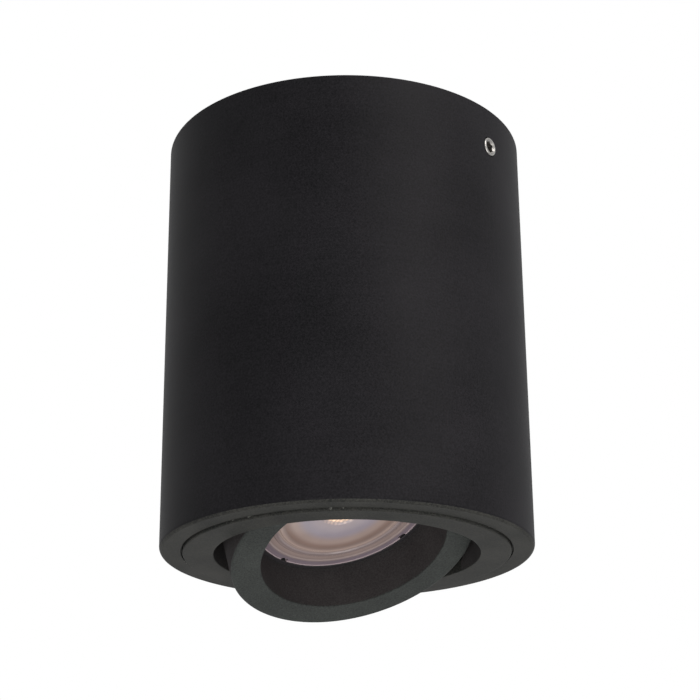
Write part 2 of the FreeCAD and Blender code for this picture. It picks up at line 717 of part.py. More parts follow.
# ---------------------------------------------------------------- lamp head, drawn level about its pivot
def make_lamp_ring():
    """The tilting ring: a flat face, a deep bore with a ledge for the lamp, a skirt and two pivot bosses."""
    body = new_body("LampRing")
    face = "-Sizes.pivot_depth"
    outer = "Sizes.cup_radius"
    bore = "Sizes.bore_radius"
    pocket = "Sizes.pocket_radius"
    barrel = "Sizes.barrel_radius"
    under = f"{face} + Sizes.face_thickness"
    revolve(body, "CupTurned", [
        (bore, face),
        (f"{outer} - Sizes.cup_edge", face),
        (outer, f"{face} + Sizes.cup_edge"),
        (outer, f"{face} + Sizes.cup_height"),
        (f"{outer} - Sizes.cup_wall", f"{face} + Sizes.cup_height"),
        (f"{outer} - Sizes.cup_wall", under),
        (barrel, under),
        (barrel, f"{face} + Sizes.barrel_height"),
        (pocket, f"{face} + Sizes.barrel_height"),
        (pocket, f"{face} + Sizes.lens_depth"),
        (bore, f"{face} + Sizes.lens_depth"),
    ])
    doc.recompute()
    boss = new_sketch(body, "BossSketch", "XY_Plane")
    half = "Sizes.boss_width / 2"
    for sign in ("", "-"):
        root = f"{sign}({barrel} - Sizes.boss_root)"
        flat = f"{sign}Sizes.boss_radius"
        outline(boss, [("-" + half, root), (half, root), (half, flat), ("-" + half, flat)])
    raise_pad(body, boss, "PivotBosses", "Sizes.boss_width", both=True)
    bearing = new_sketch(body, "PivotBoreSketch", "XZ_Plane")
    circle(bearing, "0", "0", "Sizes.pivot_screw_diameter / 2 + Sizes.pivot_running_gap")
    cut_through(body, bearing, "PivotBores", "2 * Sizes.body_radius")
    seat = new_sketch(body, "ClipGrooveProfile", "XZ_Plane")
    low = f"{face} + Sizes.lens_depth + Sizes.lamp_rim_height"
    depth = f"{pocket} + Sizes.clip_wire / 3 + Sizes.clip_gap"
    high = f"{low} + Sizes.clip_wire + Sizes.clip_gap"
    outline(seat, [(f"{pocket} - Sizes.clip_wire", low), (depth, low), (depth, high),
                   (f"{pocket} - Sizes.clip_wire", high)])
    before = body.Shape.Volume
    groove = body.newObject("PartDesign::Groove", "ClipGroove")
    groove.Profile = seat
    groove.ReferenceAxis = (seat, ["V_Axis"])
    groove.Angle = 360
    doc.recompute()
    assert body.Shape.Volume < before, "the clip groove cuts nothing"
    keep(body, "lamp_ring", HEAD_POSE)


def both_pivots(make):
    """One piece per pivot: make(out) builds it for an outward direction along the pivot axis."""
    return Part.makeCompound([make(Vector(0, side, 0)) for side in (1, -1)])


def make_pivot_screws():
    """Two socket screws held by the ears; their plain ends are the bearings of the bosses."""
    radius = size("pivot_screw_diameter") / 2
    head_r = size("pivot_head_diameter") / 2
    head_height = size("pivot_head_height")
    ear_out = size("ear_radius") + size("ear_thickness")
    length = ear_out - size("boss_radius") + size("pivot_bearing_length")

    def screw(out):
        shank = rod(radius, length, out * (ear_out - length), out)
        head = rod(head_r, head_height, out * ear_out, out)
        mouth = out * (ear_out + head_height)
        key = hex_prism(size("key_size"), head_height - size("pivot_web"), mouth, out * -1)
        return shank.fuse(head).cut(key).removeSplitter()
    solid_feature("PivotScrews", both_pivots(screw), "pivot_screws", PIVOT_POSE)


def make_pivot_washers():
    """Two nylon friction washers between the bosses and the ears."""
    bore = size("pivot_screw_diameter") / 2 + size("thread_gap")
    inner = size("ear_radius") - size("washer_thickness")

    def washer(out):
        disc = rod(size("washer_diameter") / 2, size("washer_thickness"), out * inner, out)
        return disc.cut(rod(bore, size("washer_thickness"), out * inner, out))
    solid_feature("PivotWashers", both_pivots(washer), "pivot_washers", PIVOT_POSE)


def make_lamp_clip():
    """An open ring of spring wire in the barrel's groove, behind the lamp's rim."""
    wire = size("clip_wire")
    middle = size("pocket_radius") + wire / 3 - wire / 2
    level = LENS_LEVEL + size("lamp_rim_height") + wire / 2 + size("clip_gap") / 2
    arc = 360 - size("clip_opening")
    ring = Part.makeTorus(middle, wire / 2, Vector(0, 0, level), Vector(0, 0, 1), -180, 180, arc)
    solid_feature("LampClip", ring, "lamp_clip", HEAD_POSE)


def make_lamp_lens():
    """The moulded lens: a recessed core, three fine ring grooves, a collimating cone and four rim notches."""
    edge = size("lens_radius")
    core = size("core_radius")
    slope = edge / 120
    front = [(0, size("core_depth")), (core, size("core_depth")), (core + slope, size("core_depth") / 3),
             ((core + edge) / 2, 0)]
    # each groove: its start and width as shares of the lens radius, its depth as a share of the edge's
    for start, width, share in ((0.66, 0.05, 0.38), (0.79, 0.045, 0.28), (0.92, 0.045, 0.22)):
        near = edge * start
        far = edge * (start + width)
        depth = share * size("lens_edge")
        front += [(near, 0), (near + slope, depth), (far, depth), (far + slope, 0)]
    back = [(edge, 0), (edge, size("lens_edge")), (0.9 * edge, size("lens_edge")),
            (size("lens_foot_radius"), size("lens_height")), (size("led_pocket_radius"), size("lens_height")),
            (size("led_pocket_radius") - 1.3, size("lens_height") - size("led_pocket_depth")),
            (0, size("lens_height") - size("led_pocket_depth"))]
    lens = turned_solid([(r, LENS_LEVEL + up) for r, up in front + back])
    for quarter in range(4):
        notch = Part.makeBox(size("notch_depth") + 1, size("notch_width"), size("lens_edge") + 1,
                             Vector(edge - size("notch_depth"), -size("notch_width") / 2, LENS_LEVEL - 0.5))
        notch.rotate(Vector(), Vector(0, 0, 1), size("notch_azimuth") + 90 * quarter)
        lens = lens.cut(notch)
    solid_feature("LampLens", lens, "lamp_lens", HEAD_POSE)


def make_lamp_rim():
    """The lamp's dark front rim, which rests on the ledge and carries the lens."""
    outer = size("lamp_radius")
    inner = outer - size("lamp_rim_width")
    step = inner - size("lamp_rim_step")
    high = size("lamp_rim_height")
    ledge = size("lens_edge") + size("lens_gap")
    corners = ((inner, 0), (outer, 0), (outer, high), (step, high), (step, ledge), (inner, ledge))
    rim = turned_solid([(r, LENS_LEVEL + up) for r, up in corners])
    solid_feature("LampRim", rim, "lamp_rim", HEAD_POSE)


def make_lamp_heat_sink():
    """The lamp's tapering aluminium housing, ribbed outside and with a floor for the LED board."""
    low_r = size("lamp_radius") - size("lamp_rim_step")
    neck_r = size("neck_radius")
    low = LENS_LEVEL + size("lamp_rim_height")
    neck = LENS_LEVEL + size("lamp_neck_level")
    neck_top = neck + size("lamp_neck_height")
    wall = size("lamp_wall")
    floor = LENS_LEVEL + size("board_level") + size("board_thickness")
    roof = floor + size("sink_floor")
    slope = (low_r - neck_r) / (neck - low)

    def inside(level):
        return low_r - slope * (level - low) - wall
    shell = turned_solid([(low_r, low), (neck_r, neck), (neck_r, neck_top), (neck_r - wall, neck_top),
                          (inside(neck), neck), (inside(roof), roof), (0, roof), (0, floor),
                          (inside(floor), floor), (inside(low), low)])
    count = int(size("fin_count"))
    width = 2 * math.pi * neck_r / count - size("fin_width")
    depth = size("fin_depth")
    lean = Rotation(Vector(0, -1, 0), math.degrees(math.atan(slope)))
    for k in range(count):
        slot = Part.makeBox(3 * depth, width, neck - low + depth, Vector(0, -width / 2, 0))
        slot.Placement = Placement(Vector(low_r - depth, 0, low + 2 * depth), lean)
        slot.rotate(Vector(), Vector(0, 0, 1), 360 * k / count)
        shell = shell.cut(slot)
    solid_feature("LampHeatSink", shell, "lamp_heat_sink", HEAD_POSE)


def make_lamp_electrics():
    """LED board and chip at the lens, driver board in the neck."""
    level = LENS_LEVEL + size("board_level")
    board_r = size("lamp_radius") - size("board_inset")
    led_board = rod(board_r, size("board_thickness"), Vector(0, 0, level))
    solid_feature("LampLedBoard", led_board, "lamp_led_board", HEAD_POSE)
    side = size("chip_side")
    chip_height = size("chip_height")
    chip = rounded_slab(side, side, chip_height, chip_height, level - chip_height)
    dome = rod(0.42 * side, chip_height / 2, Vector(0, 0, level - 1.5 * chip_height))
    solid_feature("LampLedChip", chip.fuse(dome).removeSplitter(), "lamp_led_chip", HEAD_POSE)
    base = level + size("board_thickness") + size("sink_floor")
    width = size("driver_width")
    height = size("driver_height")
    thick = size("driver_thickness")
    board = Part.makeBox(thick, width, height, Vector(-thick / 2, -width / 2, base))
    capacitor_r = 0.19 * width
    coil_r = 0.2 * width
    capacitor_foot = Vector(capacitor_r + thick / 2, 0.18 * width, base + 0.2 * height)
    capacitor = rod(capacitor_r, 0.55 * height, capacitor_foot)
    coil_foot = Vector(thick / 2, -0.24 * width, base + 0.35 * height)
    coil = rod(coil_r, 0.3 * height, coil_foot, Vector(1, 0, 0))
    solid_feature("LampDriver", board.fuse([capacitor, coil]).removeSplitter(), "lamp_driver", HEAD_POSE)


def make_lamp_base():
    """The lamp's plastic base cap, stepped down to the end face that carries the pins."""
    neck = LENS_LEVEL + size("lamp_neck_level")
    socket = neck - size("base_socket")
    neck_top = neck + size("lamp_neck_height")
    wall = size("base_wall")
    low_r = size("neck_radius") - size("lamp_wall") - size("base_gap")
    mid_r = size("neck_radius") - size("base_step")
    foot_r = mid_r - size("base_taper")
    taper = LAMP_TOP - size("base_taper_height")
    end = 2 * wall
    outside = [(low_r, socket), (low_r, neck_top), (mid_r, neck_top), (mid_r, taper), (foot_r, LAMP_TOP),
               (0, LAMP_TOP)]
    inside = [(0, LAMP_TOP - end), (foot_r - wall, LAMP_TOP - end), (mid_r - wall, taper - wall),
              (low_r - wall, neck_top), (low_r - wall, socket)]
    base = turned_solid(outside + inside)
    for side in (1, -1):
        spot = Vector(0, side * size("pin_spacing") / 2, LAMP_TOP - 1.25 * end)
        base = base.cut(rod(size("pin_diameter") / 2, 1.5 * end, spot))
    solid_feature("LampBase", base, "lamp_base", HEAD_POSE)
    pins = []
    for side in (1, -1):
        foot = Vector(0, side * size("pin_spacing") / 2, LAMP_TOP - 4)
        pin = rod(size("pin_diameter") / 2 - 0.02, size("pin_length") + 2, foot)
        head = rod(size("pin_head_diameter") / 2, 2.2, foot + Vector(0, 0, size("pin_length") + 1.8))
        rim = [e for e in head.Edges if isinstance(e.Curve, Part.Circle) and e.BoundBox.ZMin > foot.z + 9]
        pins.append(pin.fuse(head.makeFillet(0.6, rim)).removeSplitter())
    solid_feature("LampPins", Part.makeCompound(pins), "lamp_pins", HEAD_POSE)


# ---------------------------------------------------------------- lamp holder
def make_lamp_holder():
    """The ceramic holder with two twist-lock channels, its cover, cover screws and contact springs."""
    corner = size("holder_corner")
    length = size("holder_length")
    width = size("holder_width")
    cover_height = size("holder_cover_height")
    body = rounded_slab(width, length, size("holder_height"), corner, LAMP_TOP)
    roof = LAMP_TOP + size("holder_height")
    gap = size("thread_gap")
    half = size("pin_spacing") / 2
    neck = size("pin_diameter") / 2 + 6 * gap
    head = size("pin_head_diameter") / 2 + 6 * gap
    depth = size("pin_length") + 1
    sweep = 24
    contact_width = size("contact_width")
    pocket_width = contact_width + 1
    screw_r = size("holder_screw_diameter") / 2
    head_r = size("holder_head_diameter") / 2
    recess = size("holder_recess")
    grip = size("holder_screw_grip")
    screw_place = length / 2 - size("holder_screw_inset")
    contacts = []
    for side in (1, -1):
        spot = Vector(0, side * half, LAMP_TOP)
        body = body.cut(rod(head, depth, spot))
        # the channel turns about the lamp axis: narrow at the mouth, wide behind it
        channels = ((half - neck, half + neck, 0, depth), (half - head, half + head, depth / 2, depth))
        for inner, outer, low, high in channels:
            tall = high - low
            start = Vector(0, 0, LAMP_TOP + low)
            sector = Part.makeCylinder(outer, tall, start, Vector(0, 0, 1), sweep)
            sector = sector.cut(rod(inner, tall, start))
            sector.rotate(Vector(), Vector(0, 0, 1), 90 * side)
            body = body.cut(sector)
        near = half + 2
        far = half + 5.2
        pocket_corner = Vector(-pocket_width / 2, min(side * near, side * far), LAMP_TOP + 2)
        body = body.cut(Part.makeBox(pocket_width, far - near, roof - LAMP_TOP - 2, pocket_corner))
        contact_line = [(half + 3.1, LAMP_TOP + 3), (half + 4.4, LAMP_TOP + 5.4), (half + 4.4, roof - 0.6),
                        (half + 2.2, roof - 0.6)]
        strip = bent_strip(contact_line, size("contact_thickness"), contact_width)
        strip.rotate(Vector(), Vector(0, 0, 1), 90 * side)
        contacts.append(strip)
        body = body.cut(rod(screw_r + gap, 1.5 * grip, Vector(0, side * screw_place, roof - 1.5 * grip)))
    solid_feature("HolderBody", body, "holder_body", HEAD_POSE)
    solid_feature("HolderContacts", Part.makeCompound(contacts), "holder_contacts", HEAD_POSE)

    cover = rounded_slab(width, length, cover_height, corner, roof)
    rim = [e for e in cover.Edges if e.BoundBox.ZMin > HOLDER_TOP - 0.01]
    cover = cover.makeFillet(size("holder_edge"), rim)
    screws = []
    for side in (1, -1):
        lead_spot = Vector(0, side * size("lead_spacing") / 2, roof)
        cover = cover.cut(rod(size("lead_diameter") / 2 + 3 * gap, cover_height, lead_spot))
        spot = Vector(0, side * screw_place, roof)
        seat = spot + Vector(0, 0, cover_height - recess)
        cover = cover.cut(rod(screw_r + 3 * gap, cover_height, spot))
        cover = cover.cut(rod(head_r + 4 * gap, recess, seat))
        length_under_head = cover_height - recess + grip
        screw = slotted_screw(screw_r, length_under_head, head_r, size("holder_head_height"), Vector())
        screw.Placement = Placement(seat, Rotation(Vector(1, 0, 0), 180))
        screws.append(screw)
    solid_feature("HolderCover", cover, "holder_cover", HEAD_POSE)
    solid_feature("HolderScrews", Part.makeCompound(screws), "holder_screws", HEAD_POSE)


# ---------------------------------------------------------------- earth point and leads
def lug_place(along, level):
    """A point along the earth lug's own direction, at a level."""
    angle = math.radians(size("earth_lug_azimuth"))
    return Vector(along * math.cos(angle), size("earth_offset") + along * math.sin(angle), level)


def crimp_level():
    """The level of the crimped lead's axis, just under the plate."""
    return -size("plate_thickness") - size("crimp_diameter") / 2 - size("crimp_gap")


def make_earth_point():
    """Ring lug, washer and screw under the plate."""
    lug_low = -size("plate_thickness") - size("earth_lug_thickness")
    washer_low = lug_low - size("earth_washer_thickness")
    radius = size("earth_screw_diameter") / 2
    head_r = size("earth_head_diameter") / 2
    head_height = size("earth_head_height")
    gap = 3 * size("thread_gap")
    centre = Vector(0, size("earth_offset"), 0)
    lug_thickness = size("earth_lug_thickness")
    crimp_start = size("crimp_start")
    crimp_length = size("crimp_length")
    bridge_width = size("earth_bridge_width")
    tongue = rod(radius + size("earth_ring_width"), lug_thickness, centre + Vector(0, 0, lug_low))
    bridge_corner = Vector(0, -bridge_width / 2, lug_low)
    bridge = Part.makeBox(1.2 * crimp_start, bridge_width, lug_thickness, bridge_corner)
    crimp_foot = Vector(crimp_start, 0, crimp_level())
    barrel = rod(size("crimp_diameter") / 2, crimp_length, crimp_foot, Vector(1, 0, 0))
    arm = bridge.fuse(barrel)
    arm.Placement = Placement(centre, Rotation(Vector(0, 0, 1), size("earth_lug_azimuth")))
    lug = tongue.fuse(arm)
    bore = rod(size("lead_diameter") / 2 + size("thread_gap"), 1.2 * crimp_length,
               lug_place(crimp_start + 0.5, crimp_level()), lug_place(1, 0) - lug_place(0, 0))
    hole = rod(radius + gap, 3 * lug_thickness, centre + Vector(0, 0, lug_low - lug_thickness))
    solid_feature("EarthLug", lug.cut(bore).cut(hole).removeSplitter(), "earth_lug", ROOT_POSE)
    thickness = size("earth_washer_thickness")
    washer = rod(head_r + 0.5, thickness, centre + Vector(0, 0, washer_low))
    washer = washer.cut(rod(radius + gap, thickness, centre + Vector(0, 0, washer_low)))
    solid_feature("EarthWasher", washer, "earth_washer", ROOT_POSE)
    head = rod(head_r, head_height, centre + Vector(0, 0, washer_low - head_height))
    rim = [e for e in head.Edges if e.BoundBox.ZMax < washer_low - head_height + 0.01]
    head = head.makeFillet(0.35 * head_height, rim)
    shank = rod(radius, -washer_low - 0.3, centre + Vector(0, 0, washer_low))
    slit = 0.22 * head_r
    cross = Part.makeBox(slit, 1.1 * head_r, head_height / 2,
                         centre + Vector(-slit / 2, -0.55 * head_r, washer_low - head_height))
    other = cross.copy()
    other.rotate(centre, Vector(0, 0, 1), 90)
    screw = head.fuse(shank).cut(cross).cut(other).removeSplitter()
    solid_feature("EarthScrew", screw, "earth_screw", ROOT_POSE)


def terminal_point(x, out):
    """A point in front of a pole's inner mouth; out is the distance from the block's face."""
    y = -size("block_offset") + size("block_width") / 2 + out
    return Vector(x, y, BLOCK_FLOOR + size("block_height") - size("sleeve_level"))


def head_point(across, up):
    """A point of the lamp head in the rest pose; up is measured from the holder's top."""
    return HEAD_POSE.multVec(Vector(0, across, HOLDER_TOP + up))


def make_leads():
    """Live, neutral and earth leads; the lamp's two are split where they pass the turning axis."""
    diameter = size("lead_diameter")
    grip = -size("lead_grip")
    straight = size("lead_straight")
    pitch = size("pole_pitch")
    level = crimp_level()
    start = size("crimp_start")
    bow = Vector(size("earth_bow_across"), -size("earth_bow_back"), -size("earth_bow_drop"))
    earth = [terminal_point(pitch, grip), terminal_point(pitch, straight), bow,
             lug_place(size("lug_run"), level - size("thread_gap")),
             lug_place(start + size("crimp_length") + 0.5, level), lug_place(start + 1.5, level)]
    solid_feature("EarthLead", lead(earth, diameter), "earth_lead", ROOT_POSE)
    half = size("twin_spacing") / 2
    for name, side, pole in (("live", -1, -pitch), ("neutral", 1, 0.0)):
        across = RING_POSE.multVec(Vector(0, half * side, 0))
        above = Vector(half * side, (0.4 * side - 0.7) * half, -size("twin_top_drop"))
        below = Vector(-0.9 * half, 0.3 * half, -size("twin_low_drop")) + across
        sag = RING_POSE.multVec(Vector(-size("twin_swing"), 0, -size("twin_sag_drop"))) + across
        rise = RING_POSE.multVec(Vector(-size("twin_reach"), 0, -size("twin_rise_drop"))) + across
        turn_point = (above + below) / 2
        bend = Vector(0.3 * pole + 0.35 * half * side, -4.1 * half, -size("twin_top_drop") + 2.1 * diameter)
        seat = side * size("lead_spacing") / 2
        upper = [terminal_point(pole, grip), terminal_point(pole, straight), bend, above, turn_point]
        lower = [turn_point, below, sag, rise, head_point(seat, size("holder_run")),
                 head_point(seat, 1 - size("holder_cover_height"))]
        solid_feature(f"{name.title()}UpperLead", lead(upper, diameter), f"{name}_upper_lead", ROOT_POSE)
        solid_feature(f"{name.title()}LowerLead", lead(lower, diameter), f"{name}_lower_lead", ROOT_POSE)


def build_all():
    """Build every sub-part."""
    make_tube_body()
    make_grub_screws()
    make_mounting_plate()
    make_cable_grommet()
    make_terminal_block()
    make_front_ring()
    make_retaining_springs()
    make_lamp_ring()
    make_pivot_screws()
    make_pivot_washers()
    make_lamp_clip()
    make_lamp_lens()
    make_lamp_rim()
    make_lamp_heat_sink()
    make_lamp_electrics()
    make_lamp_base()
    make_lamp_holder()
    make_earth_point()
    make_leads()


build_all()
doc.recompute()
for item in doc.Objects:
    assert not {"Invalid", "Error"} & set(item.State), item.Label
for part in subparts:
    assert not part.Shape.isNull() and part.Shape.isValid(), part.Label
os.makedirs("parts", exist_ok=True)
for part in subparts:
    part.Shape.exportStep(f"parts/{part.Label}.step")
print(len(subparts), "sub-parts")
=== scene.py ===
"""Looks of a black, surface mounted ceiling spotlight with a turning front ring and a tilting lamp ring."""

import json
import logging
import math
from dataclasses import dataclass, field
from enum import Enum
from typing import Iterable, Sequence

import bmesh
import bpy
from mathutils import Matrix, Vector


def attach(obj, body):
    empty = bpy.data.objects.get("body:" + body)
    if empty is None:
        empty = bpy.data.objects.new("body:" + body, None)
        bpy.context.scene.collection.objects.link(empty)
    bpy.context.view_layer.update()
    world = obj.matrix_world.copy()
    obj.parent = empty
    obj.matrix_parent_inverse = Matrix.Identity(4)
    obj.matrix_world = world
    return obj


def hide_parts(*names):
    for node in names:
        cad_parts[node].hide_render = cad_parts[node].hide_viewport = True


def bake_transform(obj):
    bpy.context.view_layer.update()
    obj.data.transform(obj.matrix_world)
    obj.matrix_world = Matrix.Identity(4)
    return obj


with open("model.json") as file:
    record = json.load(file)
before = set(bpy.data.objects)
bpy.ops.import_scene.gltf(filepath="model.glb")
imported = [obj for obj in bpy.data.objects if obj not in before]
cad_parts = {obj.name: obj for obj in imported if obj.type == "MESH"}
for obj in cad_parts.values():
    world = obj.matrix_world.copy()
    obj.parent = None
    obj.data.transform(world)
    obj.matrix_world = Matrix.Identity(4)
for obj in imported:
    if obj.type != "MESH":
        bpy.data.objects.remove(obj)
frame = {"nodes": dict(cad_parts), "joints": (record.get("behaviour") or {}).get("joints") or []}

MM = 0.001
FULL_TURN = 2 * math.pi
ROUND_STEPS = 160
BAR_SIDES = 48
SAME_PLACE = 1e-7
ON_RING = 2e-6
# how far a cutting tool stands out of what it cuts, in mm
OVERRUN = 1.0

log = logging.getLogger("spotlight")

BMesh = bmesh.types.BMesh
Tree = bpy.types.NodeTree
Socket = bpy.types.NodeSocket


# -------------------- places read from the frame
def joint(name: str) -> dict:
    """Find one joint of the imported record.

    Args:
        name: The joint's name.

    Returns:
        The joint's entry in the record.
    """
    return next(entry for entry in frame["joints"] if entry["name"] == name)


TILT_JOINT = joint("lamp_tilt")
TILT_AXIS = Vector(TILT_JOINT["axis"])
PIVOT = Vector(TILT_JOINT["pos_m"])
TURN = math.atan2(TILT_AXIS.x, -TILT_AXIS.y)
# the joint's upper stop lies 25 degrees off straight down, which gives the tilt at rest
TILT_STOP = 25.0
TILT = math.radians(TILT_STOP - max(TILT_JOINT["range_deg"]))
RING_PLACE = Matrix.Rotation(TURN, 4, "Z")
HEAD_PLACE = Matrix.Translation(PIVOT) @ RING_PLACE @ Matrix.Rotation(TILT, 4, Vector((0, -1, 0)))


# -------------------- colour and nodes
def linear(hex_colour: str) -> tuple[float, float, float, float]:
    """Turn an sRGB hex colour into linear light.

    Args:
        hex_colour: Six hex digits, with or without a leading hash.

    Returns:
        Linear red, green and blue with an alpha of 1.
    """
    digits = hex_colour.lstrip("#")
    parts = [int(digits[i:i + 2], 16) / 255 for i in (0, 2, 4)]
    return (*(c / 12.92 if c <= 0.04045 else ((c + 0.055) / 1.055) ** 2.4 for c in parts), 1.0)


def per_metre(size_mm: float) -> float:
    """Find the texture scale that gives features a size.

    Args:
        size_mm: The feature's size in mm.

    Returns:
        The texture's scale.
    """
    return 1.0 / (size_mm * MM)


def add_node(tree: Tree, kind: str, inputs: dict | None = None, **settings) -> bpy.types.Node:
    """Add a node with its settings and links.

    Args:
        tree: The node tree.
        kind: The node's type name.
        inputs: Values or sockets for the node's inputs, by name or number.
        settings: Attributes to set on the node.

    Returns:
        The new node.
    """
    made = tree.nodes.new(kind)
    for name, value in settings.items():
        setattr(made, name, value)
    for key, value in (inputs or {}).items():
        if isinstance(value, Socket):
            tree.links.new(value, made.inputs[key])
        else:
            made.inputs[key].default_value = value
    return made


def worked_out(tree: Tree, operation: str, *values: Socket | float) -> Socket:
    """Work a value out with a math node.

    Args:
        tree: The node tree.
        operation: What the node does.
        values: Sockets or numbers, in the order of the node's inputs.

    Returns:
        The result.
    """
    return add_node(tree, "ShaderNodeMath", dict(enumerate(values)), operation=operation).outputs[0]


def blended(tree: Tree, first: Socket, second: Socket, share: float) -> Socket:
    """Blend two patterns.

    Args:
        tree: The node tree.
        first: One pattern.
        second: The other pattern.
        share: The first one's share.

    Returns:
        The blend.
    """
    return worked_out(tree, "MULTIPLY_ADD", first, share, worked_out(tree, "MULTIPLY", second, 1 - share))


def ranged(tree: Tree, value: Socket, source: tuple[float, float],
           target: tuple[float, float] = (0.0, 1.0)) -> Socket:
    """Map a value from one range to another.

    Args:
        tree: The node tree.
        value: The value.
        source: The range that it has.
        target: The range that it gets.

    Returns:
        The mapped value, held inside the target.
    """
    limits = dict(zip(("From Min", "From Max", "To Min", "To Max"), (*source, *target)))
    return add_node(tree, "ShaderNodeMapRange", {"Value": value, **limits}).outputs["Result"]


def noise(tree: Tree, place: Socket, scale: float, detail: float = 2.0, roughness: float = 0.5) -> Socket:
    """Add a noise pattern.

    Args:
        tree: The node tree.
        place: Coordinates.
        scale: Features per metre.
        detail: Octaves of finer noise.
        roughness: Weight of the finer octaves.

    Returns:
        The pattern, from 0 to 1.
    """
    return add_node(tree, "ShaderNodeTexNoise", {
        "Vector": place, "Scale": scale, "Detail": detail, "Roughness": roughness}).outputs["Fac"]


def around_axis(tree: Tree, place: Socket) -> tuple[Socket, Socket]:
    """Flatten a place along Z and measure how far it is from the Z axis.

    Args:
        tree: The node tree.
        place: Coordinates.

    Returns:
        The flattened place and its distance.
    """
    flat = add_node(tree, "ShaderNodeVectorMath", {0: place, 1: (1.0, 1.0, 0.0)}, operation="MULTIPLY")
    radius = add_node(tree, "ShaderNodeVectorMath", {0: flat.outputs["Vector"]}, operation="LENGTH")
    return flat.outputs["Vector"], radius.outputs["Value"]


def empty_tree(owner: bpy.types.Material | bpy.types.World) -> Tree:
    """Give a material or a world an empty node tree.

    Args:
        owner: The material or world.

    Returns:
        Its tree.
    """
    owner.use_nodes = True
    owner.node_tree.nodes.clear()
    return owner.node_tree


# -------------------- finishes
class Texture(Enum):
    """How a surface was made."""

    POWDER_COAT = "powder coat"
    TURNED_COAT = "powder coat over turning"
    MOULDED = "moulded"
    ROLLED = "rolled or drawn metal"
    TURNED = "turned metal"


# streaks that the way of making leaves: features per metre along them, and their share in the pattern
STREAKS = {Texture.TURNED_COAT: (12.0, 0.12), Texture.TURNED: (60.0, 0.75), Texture.ROLLED: (40.0, 0.75)}
NOISE_MIDDLE = 0.5
NOISE_REACH = 0.18
GRAIN_RANGE = (0.3, 0.7)
GRAIN_ROUGHNESS = 0.6
GRAIN_STRENGTH = 0.9
ROUGHNESS_SWING = 0.05


@dataclass(frozen=True)
class Finish:
    """One surface finish, made into a material when it is first used."""

    name: str
    colour: str
    second_colour: str
    roughness: float
    metallic: float = 0.0
    specular: float = 0.5
    texture: Texture = Texture.MOULDED
    grain_mm: float = 0.6
    grain_depth_mm: float = 0.02
    cloud_mm: float = 14.0
    cloud_share: float = 0.35
    contrast: float = 1.0
    # the coat is chipped between these two distances from the axis
    chipped_mm: tuple[float, float] = (0.0, 0.0)
    chip_colour: str = "#747471"
    # noise of this size above these levels: chips 0.5 to 1 mm long, a few millimetres apart
    chip_mm: float = 1.3
    chip_levels: tuple[float, float] = (0.66, 0.74)

    def material(self) -> bpy.types.Material:
        """Build the material, or return it when it is already there.

        Returns:
            The finish as a node material.
        """
        known = bpy.data.materials.get(self.name)
        if known:
            return known
        made = bpy.data.materials.new(self.name)
        tree = empty_tree(made)
        place = add_node(tree, "ShaderNodeTexCoord").outputs["Object"]
        grain = self.grain(tree, place)
        cloud = noise(tree, place, per_metre(self.cloud_mm), 3.0)
        reach = NOISE_REACH / self.contrast
        spread = blended(tree, cloud, grain, self.cloud_share)
        layers = [(ranged(tree, spread, (NOISE_MIDDLE - reach, NOISE_MIDDLE + reach)), self.second_colour)]
        if self.chipped_mm[1]:
            layers.append((self.chips(tree, place), self.chip_colour))
        colour = linear(self.colour)
        for share, over in layers:
            colour = add_node(tree, "ShaderNodeMix", {"Factor": share, "A": colour, "B": linear(over)},
                              data_type="RGBA").outputs["Result"]
        swing = (self.roughness - ROUGHNESS_SWING, self.roughness + ROUGHNESS_SWING)
        bump = add_node(tree, "ShaderNodeBump", {
            "Height": grain, "Distance": self.grain_depth_mm * MM, "Strength": GRAIN_STRENGTH})
        shader = add_node(tree, "ShaderNodeBsdfPrincipled", {
            "Base Color": colour, "Roughness": ranged(tree, grain, GRAIN_RANGE, swing),
            "Metallic": self.metallic, "Specular IOR Level": self.specular,
            "Normal": bump.outputs["Normal"]})
        add_node(tree, "ShaderNodeOutputMaterial", {"Surface": shader.outputs["BSDF"]})
        return made

    def chips(self, tree: Tree, place: Socket) -> Socket:
        """Mark the small spots where the coat has chipped along a round edge.

        Args:
            tree: The node tree.
            place: Object coordinates.

        Returns:
            1 on a chip, 0 elsewhere.
        """
        near, far = (edge * MM for edge in self.chipped_mm)
        radius = around_axis(tree, place)[1]
        band = worked_out(tree, "COMPARE", radius, (near + far) / 2, (far - near) / 2)
        spots = noise(tree, place, per_metre(self.chip_mm))
        return worked_out(tree, "MULTIPLY", band, ranged(tree, spots, self.chip_levels))

    def grain(self, tree: Tree, place: Socket) -> Socket:
        """Make the fine pattern that the way of making leaves.

        Args:
            tree: The node tree.
            place: Object coordinates.

        Returns:
            A height from 0 to 1.
        """
        scale = per_metre(self.grain_mm)
        fine = noise(tree, place, scale, roughness=GRAIN_ROUGHNESS)
        if self.texture not in STREAKS:
            return fine
        along, share = STREAKS[self.texture]
        stretch = (scale, along, along) if self.texture is Texture.ROLLED else (along, along, scale)
        drawn = add_node(tree, "ShaderNodeMapping", {"Vector": place, "Scale": stretch}).outputs["Vector"]
        return blended(tree, noise(tree, drawn, 1.0), fine, share)


